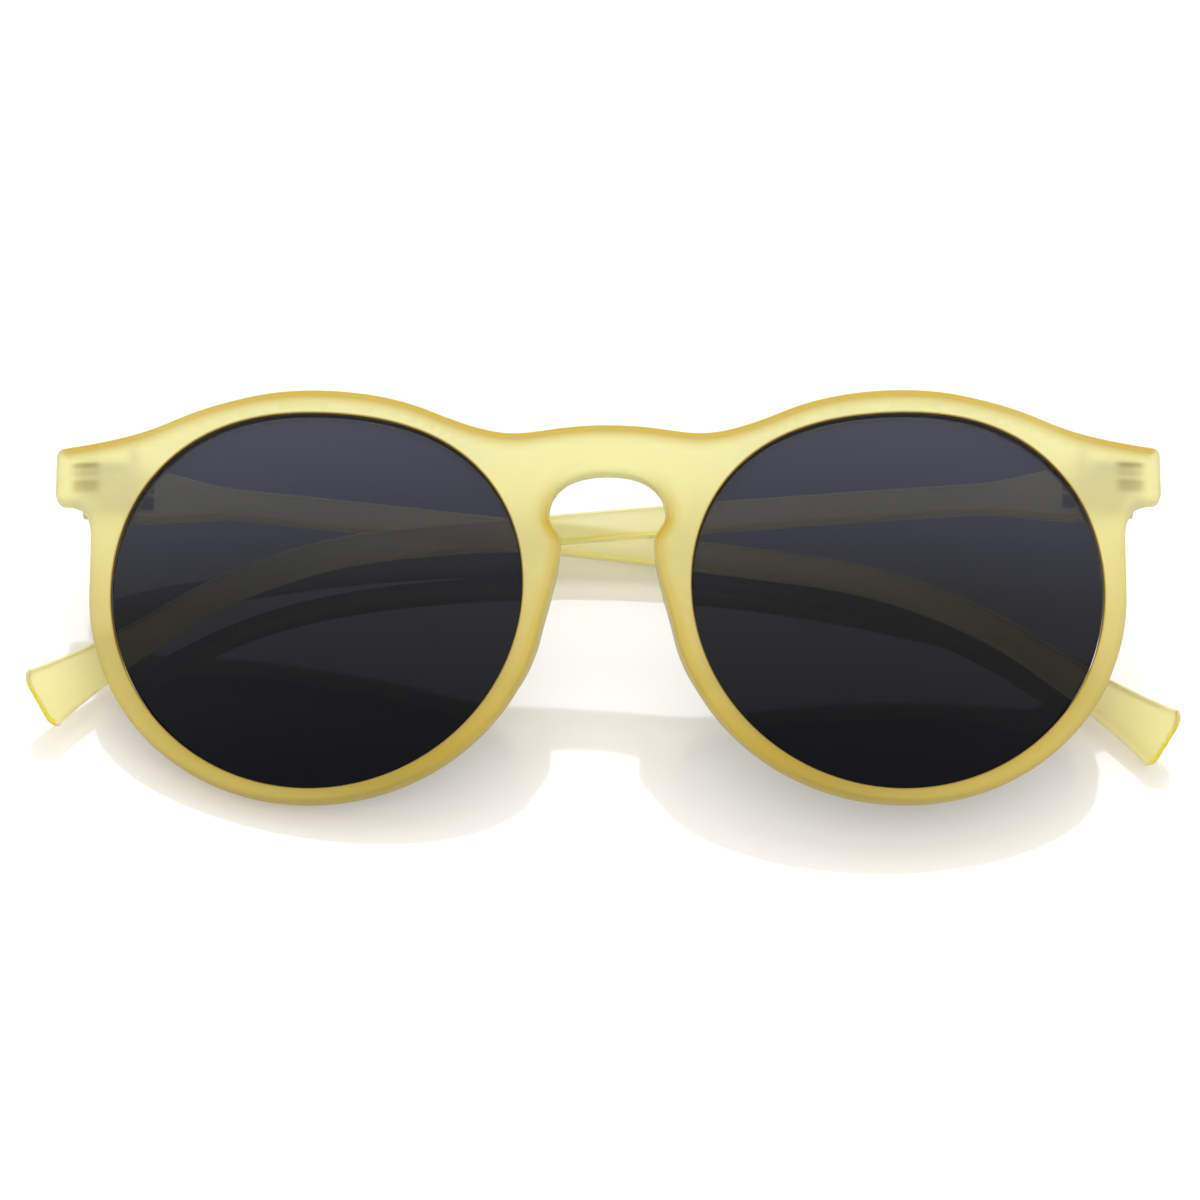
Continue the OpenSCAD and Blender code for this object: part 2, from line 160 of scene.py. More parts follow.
def in_scene(name: str, data: bpy.types.ID) -> Piece:
    """Puts a mesh, a lamp or a camera in the scene as an object at the origin.

    Args:
        name: the object's name.
        data: its mesh, lamp or camera.

    Returns:
        The object.
    """
    obj = bpy.data.objects.new(name, data)
    bpy.context.scene.collection.objects.link(obj)
    return obj


def make_object(name: str, mesh: bpy.types.Mesh) -> Piece:
    """Puts a mesh in the scene, shaded smooth.

    Args:
        name: the object's name.
        mesh: its mesh.

    Returns:
        The object.
    """
    obj = in_scene(name, mesh)
    mesh.polygons.foreach_set("use_smooth", [True] * len(mesh.polygons))
    return obj


def face_outwards(mesh: bpy.types.Mesh) -> None:
    """Turns the faces of each closed shell outwards, after merging points that coincide.

    Args:
        mesh: the mesh, which is changed.
    """
    shell = bmesh.new()
    shell.from_mesh(mesh)
    bmesh.ops.remove_doubles(shell, verts=shell.verts, dist=1e-7)
    bmesh.ops.recalc_face_normals(shell, faces=shell.faces)
    shell.to_mesh(mesh)
    shell.free()


class Plan:
    """A node tree under construction."""

    def __init__(self, tree: bpy.types.NodeTree) -> None:
        """Takes the tree that the nodes go into."""
        self.tree = tree

    def feed(self, socket: Socket, value: object) -> None:
        """Links a socket to another one, or sets its value.

        Args:
            socket: the input that is fed.
            value: a socket or a plain value. A colour has three numbers, and gets its fourth here.
        """
        if isinstance(value, Socket):
            self.tree.links.new(value, socket)
        elif socket.type == "RGBA":
            socket.default_value = (*value, 1)
        else:
            socket.default_value = value

    def node(self, kind: str, inputs: dict[str | int, object] | None = None,
             **settings: object) -> bpy.types.Node:
        """Adds a node.

        Args:
            kind: the node's type.
            inputs: values or sockets for its inputs, by name or number.
            settings: its options.

        Returns:
            The node.
        """
        node = self.tree.nodes.new(kind)
        for name, value in settings.items():
            setattr(node, name, value)
        for name, value in (inputs or {}).items():
            self.feed(node.inputs[name], value)
        return node

    def calc(self, operation: str, *values: object, clamp: bool = False) -> Socket:
        """Adds a Math node and returns its result.

        Args:
            operation: the node's operation.
            values: its inputs, in order.
            clamp: whether the result is held between 0 and 1.

        Returns:
            The result.
        """
        node = self.node("ShaderNodeMath", dict(enumerate(values)),
                         operation=operation, use_clamp=clamp)
        return node.outputs["Value"]


class NodePlan(Plan):
    """A Geometry Nodes tree under construction, with named inputs for its sizes."""

    def __init__(self, name: str) -> None:
        """Starts an empty tree.

        Args:
            name: the tree's name.
        """
        super().__init__(bpy.data.node_groups.new(name, "GeometryNodeTree"))
        self.tree.interface.new_socket("Geometry", in_out="OUTPUT",
                                       socket_type="NodeSocketGeometry")
        self.inputs = self.node("NodeGroupInput")

    def size(self, name: str, value: float | int) -> Socket:
        """Adds a named input and returns the socket that gives it.

        Args:
            name: the input's name.
            value: its value. A whole number makes it an input for whole numbers.

        Returns:
            The socket that gives it.
        """
        kind = "NodeSocketInt" if isinstance(value, int) else "NodeSocketFloat"
        item = self.tree.interface.new_socket(name, in_out="INPUT", socket_type=kind)
        item.default_value = value
        return self.inputs.outputs[name]

    def vector(self, x: object = 0.0, y: object = 0.0, z: object = 0.0) -> Socket:
        """Joins three numbers to a vector."""
        return self.node("ShaderNodeCombineXYZ", {"X": x, "Y": y, "Z": z}).outputs["Vector"]

    def moved(self, shape: Socket, by: Socket,
              turn: Point3 = (0.0, 0.0, 0.0)) -> Socket:
        """Turns a shape and then moves it."""
        return self.node("GeometryNodeTransform", {
            "Geometry": shape, "Translation": by, "Rotation": turn}).outputs["Geometry"]

    def joined(self, *shapes: Socket) -> Socket:
        """Joins shapes to one.

        Args:
            shapes: the shapes.

        Returns:
            The joined shape.
        """
        node = self.node("GeometryNodeJoinGeometry")
        for shape in shapes:
            self.feed(node.inputs["Geometry"], shape)
        return node.outputs["Geometry"]

    def row(self, shape: Socket, count: Socket, first: Socket, step: Socket) -> Socket:
        """Repeats a shape along a straight line.

        Args:
            shape: what is repeated.
            count: how many there are.
            first: the place of the first.
            step: the way from one to the next.

        Returns:
            The row, as instances.
        """
        line = self.node("GeometryNodeMeshLine", {
            "Count": count, "Start Location": first, "Offset": step}, mode="OFFSET")
        return self.node("GeometryNodeInstanceOnPoints", {
            "Points": line.outputs["Mesh"], "Instance": shape}).outputs["Instances"]

    def circle(self, radius: object, points: int) -> Socket:
        """A circle about the origin, as a curve."""
        return self.node("GeometryNodeCurvePrimitiveCircle", {
            "Resolution": points, "Radius": radius}, mode="RADIUS").outputs["Curve"]

    def rounded(self, width: object, height: object, radius: float) -> Socket:
        """A rectangle with round corners, as a curve about the origin.

        Args:
            width: its size along X.
            height: its size along Y.
            radius: the radius of its corners.

        Returns:
            The curve.
        """
        sheet = self.node("GeometryNodeCurvePrimitiveQuadrilateral", {
            "Width": width, "Height": height}, mode="RECTANGLE")
        return self.node("GeometryNodeFilletCurve", {
            "Curve": sheet.outputs["Curve"], "Radius": radius, "Count": 3,
            "Limit Radius": True}, mode="POLY").outputs["Curve"]

    def drawn(self, path: Socket, profile: Socket, caps: bool = False) -> Socket:
        """The surface of a profile drawn along a path, with or without closed ends."""
        return self.node("GeometryNodeCurveToMesh", {
            "Curve": path, "Profile Curve": profile, "Fill Caps": caps}).outputs["Mesh"]

    def swept(self, profile: Socket, thick: object) -> Socket:
        """A closed slab, the profile drawn along Z from the origin.

        Args:
            profile: a closed curve about the origin.
            thick: how far it is drawn.

        Returns:
            The slab.
        """
        line = self.node("GeometryNodeCurvePrimitiveLine", {
            "Start": (0, 0, 0), "End": self.vector(z=thick)})
        return self.drawn(line.outputs["Curve"], profile, caps=True)

    def make(self, name: str, shape: Socket, material: Material,
             place: Placer) -> Piece:
        """Finishes the tree, runs it and puts the result in the scene as a plain mesh.

        Args:
            name: the piece's name.
            shape: the tree's last geometry.
            material: the piece's material.
            place: gives the scene's point for a point of the tree, in millimetres.

        Returns:
            The object.
        """
        real = self.node("GeometryNodeRealizeInstances", {"Geometry": shape})
        dressed = self.node("GeometryNodeSetMaterial", {
            "Geometry": real.outputs["Geometry"], "Material": material})
        self.node("NodeGroupOutput", {"Geometry": dressed.outputs["Geometry"]})
        holder = in_scene(f"{name}_plan", bpy.data.meshes.new(f"{name}_plan"))
        modifier = holder.modifiers.new("plan", "NODES")
        modifier.node_group = self.tree
        depsgraph = bpy.context.evaluated_depsgraph_get()
        mesh = bpy.data.meshes.new_from_object(holder.evaluated_get(depsgraph),
                                               depsgraph=depsgraph)
        holder.modifiers.remove(modifier)
        bpy.data.objects.remove(holder)
        mesh.name = name
        for vert in mesh.vertices:
            vert.co = place(*vert.co)
        face_outwards(mesh)
        obj = make_object(name, mesh)
        mesh.set_sharp_from_angle(angle=math.radians(35))
        LOG.info("%s: %d faces", name, len(mesh.polygons))
        return obj


class ShadePlan(Plan):
    """A tree of shader nodes under construction."""

    def mixed(self, share: Socket, a: object, b: object) -> Socket:
        """Mixes two colours, and gives the second where the share is 1."""
        return self.node("ShaderNodeMix", {"Factor": share, "A": a, "B": b},
                         data_type="RGBA").outputs["Result"]

    def span(self, value: Socket, start: float = 0.0, end: float = 1.0,
             low: float = 0.0, high: float = 1.0) -> Socket:
        """Stretches a range of a value to another range, and holds it at both ends.

        Args:
            value: what it reads.
            start: the value that gives the low end.
            end: the value that gives the high end.
            low: the result's low end.
            high: the result's high end.

        Returns:
            The result.
        """
        return self.node("ShaderNodeMapRange", {
            "Value": value, "From Min": start, "From Max": end,
            "To Min": low, "To Max": high}).outputs["Result"]

    def ramp(self, value: Socket, stops: Stops, interpolation: str = "LINEAR") -> Socket:
        """Adds a colour ramp.

        Args:
            value: what it reads.
            stops: places from 0 to 1, in order, each with a grey level or a colour.
            interpolation: the way from one stop to the next.

        Returns:
            The colour.
        """
        node = self.node("ShaderNodeValToRGB", {"Fac": value})
        node.color_ramp.interpolation = interpolation
        elements = node.color_ramp.elements
        elements[0].position, elements[1].position = stops[0][0], stops[-1][0]
        for place, _ in stops[1:-1]:
            elements.new(place)
        for element, (_, shade) in zip(elements, stops):
            element.color = (*(shade if isinstance(shade, tuple) else (shade,) * 3), 1)
        return node.outputs["Color"]


class Finish(ShadePlan):
    """A material under construction."""

    def __init__(self, name: str) -> None:
        """Starts the material.

        Args:
            name: the material's name.
        """
        self.material = bpy.data.materials.new(name)
        self.material.use_nodes = True
        super().__init__(self.material.node_tree)
        self.shader = self.tree.nodes["Principled BSDF"]
        self.end = self.tree.nodes["Material Output"]

    @cached_property
    def spot(self) -> Socket:
        """The place shaded, in Object coordinates."""
        return self.node("ShaderNodeTexCoord").outputs["Object"]

    def along(self, axis: Vector) -> Socket:
        """How far the place shaded lies along an axis of the scene, in metres."""
        return self.node("ShaderNodeVectorMath", {0: self.spot, 1: axis},
                         operation="DOT_PRODUCT").outputs["Value"]

    def attribute(self, name: str) -> Socket:
        """Reads one of the mesh's own attributes."""
        return self.node("ShaderNodeAttribute", attribute_name=name).outputs["Fac"]

    def noise(self, place: Socket, scale: float, detail: float = 2.0) -> Socket:
        """Adds a noise, from 0 to 1."""
        return self.node("ShaderNodeTexNoise", {
            "Vector": place, "Scale": scale, "Detail": detail}).outputs["Fac"]

    def set(self, inputs: dict[str, object]) -> None:
        """Feeds the main shader's inputs, by name."""
        for name, value in inputs.items():
            self.feed(self.shader.inputs[name], value)


@dataclass
class FrontAxes:
    """The front's own frame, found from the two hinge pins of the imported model.

    Attributes:
        pin: a hinge pin's place in that frame, in millimetres, on the left.
    """

    pin: Point3 = (66.0, 43.2, -11.07)

    def __post_init__(self) -> None:
        """Reads the pins' places and direction from the model's joints."""
        joints = {j["name"]: j for j in frame["record"]["behaviour"]["joints"]}
        left = Vector(joints["left_temple_hinge"]["pos_m"])
        right = Vector(joints["right_temple_hinge"]["pos_m"])
        up = -Vector(joints["left_temple_hinge"]["axis"])
        self.x = (left - right).normalized()
        self.y = (up - up.dot(self.x) * self.x).normalized()
        self.z = self.x.cross(self.y)
        self.origin = (left + right) / 2 - MM * (self.pin[1] * self.y + self.pin[2] * self.z)

    def at(self, x: float, y: float, z: float) -> Vector:
        """A point of the front's frame, in millimetres, as a place in the scene."""
        return self.origin + MM * (x * self.x + y * self.y + z * self.z)

    def way(self, x: float, y: float, z: float) -> Vector:
        """A direction of the front's frame, as a direction in the scene."""
        return (x * self.x + y * self.y + z * self.z).normalized()


AXES = FrontAxes()


# An even triangle's height and the least distance of an inner point from a border, both in
# spacings, and how many points are measured at a time
TRIANGLE_H = 0.866
BORDER_ROOM = 0.55
BATCH = 2000


@dataclass
class RoundedPlate:
    """A plate with rounded edges, laid out flat and then bent into place.

    Attributes:
        outer: the outline, anticlockwise, in millimetres.
        holes: the outlines of the holes, anticlockwise.
        edge_r: the radius of the outline's rounded edges.
        hole_edge_r: the radius of the holes' rounded edges.
        thickness: the thickness at a place on the plate.
        spacing: the distance between points on the flat sides.
        edge_steps: how many steps round each edge.
        wall_steps: how many steps across the wall between the edges.
        fade: how much of the front edge's painted shade the wall behind it has lost.
        border_shade: how much of that painted shade the face itself has at its border.
        border_shade_w: how far from its border the face has some of it.
        edge_shade: the depth of the shade painted on the outline: its level, and what facing
            up and facing the middle add to it; below 0, on edges that face down, it is painted
            light.
        lift: how soon that painted shade comes on the rounding of the front edge.
    """

    outer: Loop
    holes: list[Loop]
    edge_r: float
    hole_edge_r: float
    thickness: Callable[[float, float], float]
    spacing: float = 0.8
    edge_steps: int = 6
    wall_steps: int = 8
    fade: float = 0.55
    border_shade: float = 0.0
    border_shade_w: float = 1.4
    edge_shade: Point3 = (0.45, 0.6, 0.35)
    lift: float = 1.7

    def offset(self, loop: Loop, inset: float, sign: int) -> np.ndarray:
        """Moves a loop into the plate's material.

        Args:
            loop: the loop's points.
            inset: how far it moves.
            sign: 1 for the outline and -1 for a hole.

        Returns:
            The moved points.
        """
        p = np.array(loop)
        along = np.roll(p, -1, axis=0) - np.roll(p, 1, axis=0)
        along /= np.hypot(*along.T)[:, None]
        return p + sign * inset * np.stack([-along[:, 1], along[:, 0]], axis=1)

    def face(self, loops: list[np.ndarray]) -> tuple[np.ndarray, list[tuple[int, ...]]]:
        """Fills a flat side with even triangles.

        Args:
            loops: its borders, the outline first.

        Returns:
            The points, borders first, and the triangles.
        """
        low, high = loops[0].min(axis=0), loops[0].max(axis=0)
        rows = []
        for j, y in enumerate(np.arange(low[1], high[1], self.spacing * TRIANGLE_H)):
            xs = np.arange(low[0] + (j % 2) * self.spacing / 2, high[0], self.spacing)
            rows.append(np.stack([xs, np.full_like(xs, y)], axis=1))
        grid = np.concatenate(rows)
        keep = inside(grid, loops[0])
        for loop in loops[1:]:
            keep &= ~inside(grid, loop)
        grid = grid[keep]
        border = np.concatenate(loops)
        for start in range(0, len(grid), BATCH):
            part = grid[start:start + BATCH]
            near = np.hypot(part[:, None, 0] - border[None, :, 0],
                            part[:, None, 1] - border[None, :, 1]).min(axis=1)
            part[near < BORDER_ROOM * self.spacing] = np.nan
        grid = grid[~np.isnan(grid[:, 0])]
        points = np.concatenate([border, grid])
        edges, first = [], 0
        for loop in loops:
            n = len(loop)
            edges += [(first + i, first + (i + 1) % n) for i in range(n)]
            first += n
        out = delaunay_2d_cdt([Vector(p) for p in points], edges, [], 1, 1e-7)
        # The triangulation may renumber its points, so they are matched by their first source,
        # and a point that it added takes the nearest given one
        places = np.array([tuple(v) for v in out[0]])
        order = [src[0] if src else int(np.hypot(*(points - places[i]).T).argmin())
                 for i, src in enumerate(out[3])]
        triangles = np.array([f for f in out[2] if len(f) == 3])
        middles = places[triangles].mean(axis=1)
        keep = np.ones(len(triangles), dtype=bool)
        for loop in loops[1:]:
            keep &= ~inside(middles, loop)
        chosen = [tuple(order[i] for i in tri) for tri in triangles[keep]]
        return points, [tri for tri in chosen if len(set(tri)) == 3]

    def outer_edge_shade(self) -> np.ndarray:
        """How much shade is painted on each point of the outline, from -1 to 1: more where it
        faces up or to the middle, and below 0, which is painted light, where it faces down.

        Returns:
            A number for each point of the outline.
        """
        facing = np.array(self.outer) - self.offset(self.outer, 1.0, 1)
        inward = -facing[:, 0] * np.sign(np.array(self.outer)[:, 0])
        level, up, middle = self.edge_shade
        return np.clip(level + up * facing[:, 1] + middle * inward, -1.0, 1.0)

    def build(self, name: str, place: Placer) -> Piece:
        """Makes the plate's mesh.

        Args:
            name: the object's name.
            place: gives the scene's point for a place on the plate and a depth behind its face.

        Returns:
            The object, with an attribute "edge" that carries painted shade: it grows to 1 on the
            walls that face up or to the middle, is smaller on the face near its border, and falls
            below 0, for painted light, on the walls that face down; and an attribute "seat" that
            is the depth down the wall of a hole, in millimetres.
        """
        signed = [(self.outer, 1, self.edge_r)]
        signed += [(hole, -1, self.hole_edge_r) for hole in self.holes]
        turns = [math.pi / 2 * j / self.edge_steps for j in range(1, self.edge_steps + 1)]
        flat, triangles = self.face([self.offset(loop, r, s) for loop, s, r in signed])
        verts: list[Vector] = []
        edge: list[float] = []
        seat: list[float] = []
        faces: list[tuple[int, ...]] = []

        def add(points: np.ndarray, depth: Callable[[float, float], float],
                marks: np.ndarray | float, hole: bool) -> int:
            """Adds points at a depth and returns the number of the first.

            Args:
                points: places on the plate, one a row.
                depth: gives the depth behind the face at a place.
                marks: their "edge" values, or one value for all.
                hole: whether they are on the wall of a hole.

            Returns:
                The number of the first.
            """
            first = len(verts)
            edge.extend(np.broadcast_to(marks, len(points)).tolist())
            for x, y in points.tolist():
                deep = depth(x, y)
                verts.append(place(x, y, deep))
                seat.append(deep if hole else -1.0)
            return first

        # Shade painted on the outline's edges, more where they face up or to the middle, and light
        # painted where they face down; the face takes some of that shade near its border
        rim = self.outer_edge_shade()
        gap = flat[:, None, :] - flat[None, :len(rim), :]
        far = np.hypot(gap[:, :, 0], gap[:, :, 1])
        fall = np.clip(1 - far.min(axis=1) / self.border_shade_w, 0.0, 1.0)
        front = add(flat, lambda x, y: 0.0, self.border_shade * fall * rim[far.argmin(axis=1)], False)
        back = add(flat, self.thickness, 0.0, False)
        faces += [tuple(front + i for i in tri) for tri in triangles]
        faces += [tuple(back + i for i in reversed(tri)) for tri in triangles]
        border = 0
        for loop, sign, r in signed:
            n, hole = len(loop), sign == -1
            levels = [front + border]
            edge_shade = 0.0 if hole else rim
            rings = [(self.offset(loop, r * (1 - math.sin(a)), sign), r * (1 - math.cos(a)), a)
                     for a in turns]
            for ring, deep, a in rings:
                mark = min(self.lift * math.sqrt(math.sin(a)),
                           1 - self.fade * smooth(3 * a / math.pi - 0.5))
                levels.append(add(ring, lambda x, y, d=deep: d, mark * edge_shade, hole))
            for k in range(1, self.wall_steps):
                part = k / self.wall_steps
                levels.append(add(np.array(loop), lambda x, y, f=part, e=r: e + f
                                  * (self.thickness(x, y) - 2 * e), (1 - self.fade) * edge_shade, hole))
            for ring, deep, a in reversed(rings):
                mark = (1 - self.fade) * math.sin(a)
                levels.append(add(ring, lambda x, y, d=deep: self.thickness(x, y) - d,
                                  mark * edge_shade, hole))
            levels.append(back + border)
            for a, b in zip(levels, levels[1:]):
                for i in range(n):
                    j = (i + 1) % n
                    quad = (a + i, b + i, b + j, a + j)
                    faces.append(quad if sign == 1 else quad[::-1])
            border += n
        mesh = bpy.data.meshes.new(name)
        mesh.from_pydata(verts, [], faces)
        mesh.attributes.new("edge", "FLOAT", "POINT").data.foreach_set("value", edge)
        mesh.attributes.new("seat", "FLOAT", "POINT").data.foreach_set("value", seat)
        mesh.validate()
        mesh.update()
        return make_object(name, mesh)


@dataclass
class FrontShape:
    """The sizes of the front and of its lens openings, in millimetres, and their outlines.

    A field that ends in _at is an angle on a rim, in degrees, and one that ends in _pull is how
    far a curve's handle lies from its end.
    """

    thick: float = 4.0
    bow_r: float = 450.0
    rim_w: float = 2.9
    rim_top_w: float = 3.2
    rim_low_w: float = 1.6
    opening_w: float = 51.8
    opening_h: float = 48.4
    opening_gap: float = 21.2
    flat_power: float = 3.7
    flat_dir: float = 95.0
    bridge_rise: float = 20.7
    keyhole_rise: float = 14.5
    keyhole_w: float = 14.6
    keyhole_drop: float = 5.5
    waist_w: float = 11.7
    waist_rise: float = 5.3
    end_out: float = 4.7
    end_rise: float = 19.2
    end_h: float = 7.0
    end_corner_r: float = 1.0
    mitre_d: float = 9.8
    pad_h: float = 17.0
    pad_out: float = 2.8
    pad_drop: float = 4.6
    edge_r: float = 0.9
    opening_edge_r: float = 0.35
    opening_points: int = 240
    brow_in_at: int = 122
    brow_out_at: int = 71
    nose_at: int = 191
    bridge_pull: float = 11.0
    brow_in_pull: Point2 = (-12.1, -5.3)
    brow_out_pull: Point2 = (12.4, -2.4)
    end_top_pull: Point2 = (-15.0, 1.7)
    end_low_cut: float = 0.4
    end_under_pull: Point2 = (1.2, 2.4)
    end_under_h: float = 5.0
    nose_pull: Point2 = (-0.8, 3.5)
    waist_pull: Point2 = (3.0, 1.6)
    keyhole_pull: Point3 = (1.6, 3.0, 5.4)

    def __post_init__(self) -> None:
        """Works out the places that the outlines share."""
        self.opening_r = self.opening_w / 2
        self.lens_x = (self.opening_gap + self.opening_w) / 2
        self.lens_y = self.opening_r + self.rim_low_w
        self.rim_side = self.lens_x + self.opening_r + self.rim_w
        self.end_x = self.rim_side + self.end_out
        self.end_top = self.lens_y + self.end_rise
        self.end_low = self.end_top - self.end_h

    def lens_edge_r(self, a: float, grow: float) -> float:
        """Radius of the lens opening at an angle in degrees, grown by a margin."""
        flat = max(0.0, math.cos(math.radians(a - self.flat_dir))) ** self.flat_power
        return self.opening_r + grow - (self.opening_w - self.opening_h) * flat

    def rim_point(self, a: float) -> Point2:
        """A point of the rim's outer edge, on the left.

        Args:
            a: the angle about the lens's middle, in degrees.

        Returns:
            The point.
        """
        rise = math.sin(math.radians(a))
        r = self.lens_edge_r(a, self.rim_w)
        r += (self.rim_top_w - self.rim_w) * max(0.0, rise) ** 2
        r += (self.rim_low_w - self.rim_w) * max(0.0, -rise) ** 2
        x, y = polar(r, a)
        return self.lens_x + x, self.lens_y + y

    def bow(self, x: float) -> float:
        """How far the bowed face lies behind the face at the nose."""
        return self.bow_r - math.sqrt(self.bow_r ** 2 - x * x)

    def pad(self, y: float) -> float:
        """How far the nose pads stand out behind the front at a height on it.

        Args:
            y: the height on the front.

        Returns:
            The distance, 0 above and below the pads.
        """
        r = ((self.pad_h / 2) ** 2 + self.pad_out ** 2) / (2 * self.pad_out)
        off = y - (self.lens_y - self.pad_drop)
        return max(0.0, self.pad_out - r + math.sqrt(max(0.0, r * r - off * off)))

    def opening(self, side: Side) -> Loop:
        """The outline of a lens opening, anticlockwise.

        Args:
            side: the wearer's side that it is on.

        Returns:
            Its points.
        """
        points = []
        for i in range(self.opening_points):
            a = i * 360 / self.opening_points
            x, y = polar(self.lens_edge_r(a, 0), a)
            points.append((self.lens_x + x, self.lens_y + y))
        if side is Side.RIGHT:
            points = [(-x, y) for x, y in reversed(points)]
        return points

    def outline(self) -> Loop:
        """The outline of the whole front, anticlockwise.

        Returns:
            Its points.
        """
        cr, side, low = self.end_corner_r, self.rim_side, self.end_low
        top, key_top = self.lens_y + self.bridge_rise, self.lens_y + self.keyhole_rise
        brow_in, brow_out = self.rim_point(self.brow_in_at), self.rim_point(self.brow_out_at)
        nose, end = self.rim_point(self.nose_at), self.end_x - cr
        wide = (self.keyhole_w / 2, key_top - self.keyhole_drop)
        waist = (self.waist_w / 2, self.lens_y + self.waist_rise)

        def pulled(point: Point2, pull: Point2) -> Point2:
            """The handle of a curve's end."""
            return point[0] + pull[0], point[1] + pull[1]

        half: Loop = cubic((0, top), (self.bridge_pull, top), pulled(brow_in, self.brow_in_pull),
                           brow_in, 24)
        half += [self.rim_point(a) for a in range(self.brow_in_at - 1, self.brow_out_at, -1)]
        half += cubic(brow_out, pulled(brow_out, self.brow_out_pull),
                      pulled((end, self.end_top), self.end_top_pull), (end, self.end_top), 24)
        half += corner((end, self.end_top - cr), cr, 90, 0, 8)[1:]
        half += corner((end, low + cr), cr, 0, -90, 8)
        half += cubic((end - self.end_low_cut, low), (side + self.end_under_pull[0], low),
                      (side, low - self.end_under_pull[1]), (side, low - self.end_under_h), 16)
        half += [self.rim_point(-a) for a in range(361 - self.nose_at)]
        half += cubic(nose, pulled(nose, self.nose_pull),
                      (waist[0], waist[1] - self.waist_pull[0]), waist, 16)[1:]
        half += cubic(waist, (waist[0], waist[1] + self.waist_pull[1]),
                      (wide[0], wide[1] - self.keyhole_pull[0]), wide, 10)[1:]
        half += cubic(wide, (wide[0], wide[1] + self.keyhole_pull[1]),
                      (self.keyhole_pull[2], key_top), (0, key_top), 20)[1:]
        other = [(-x, y) for x, y in reversed(half)]
        return (half + other[1:-1])[::-1]


FRONT = FrontShape()


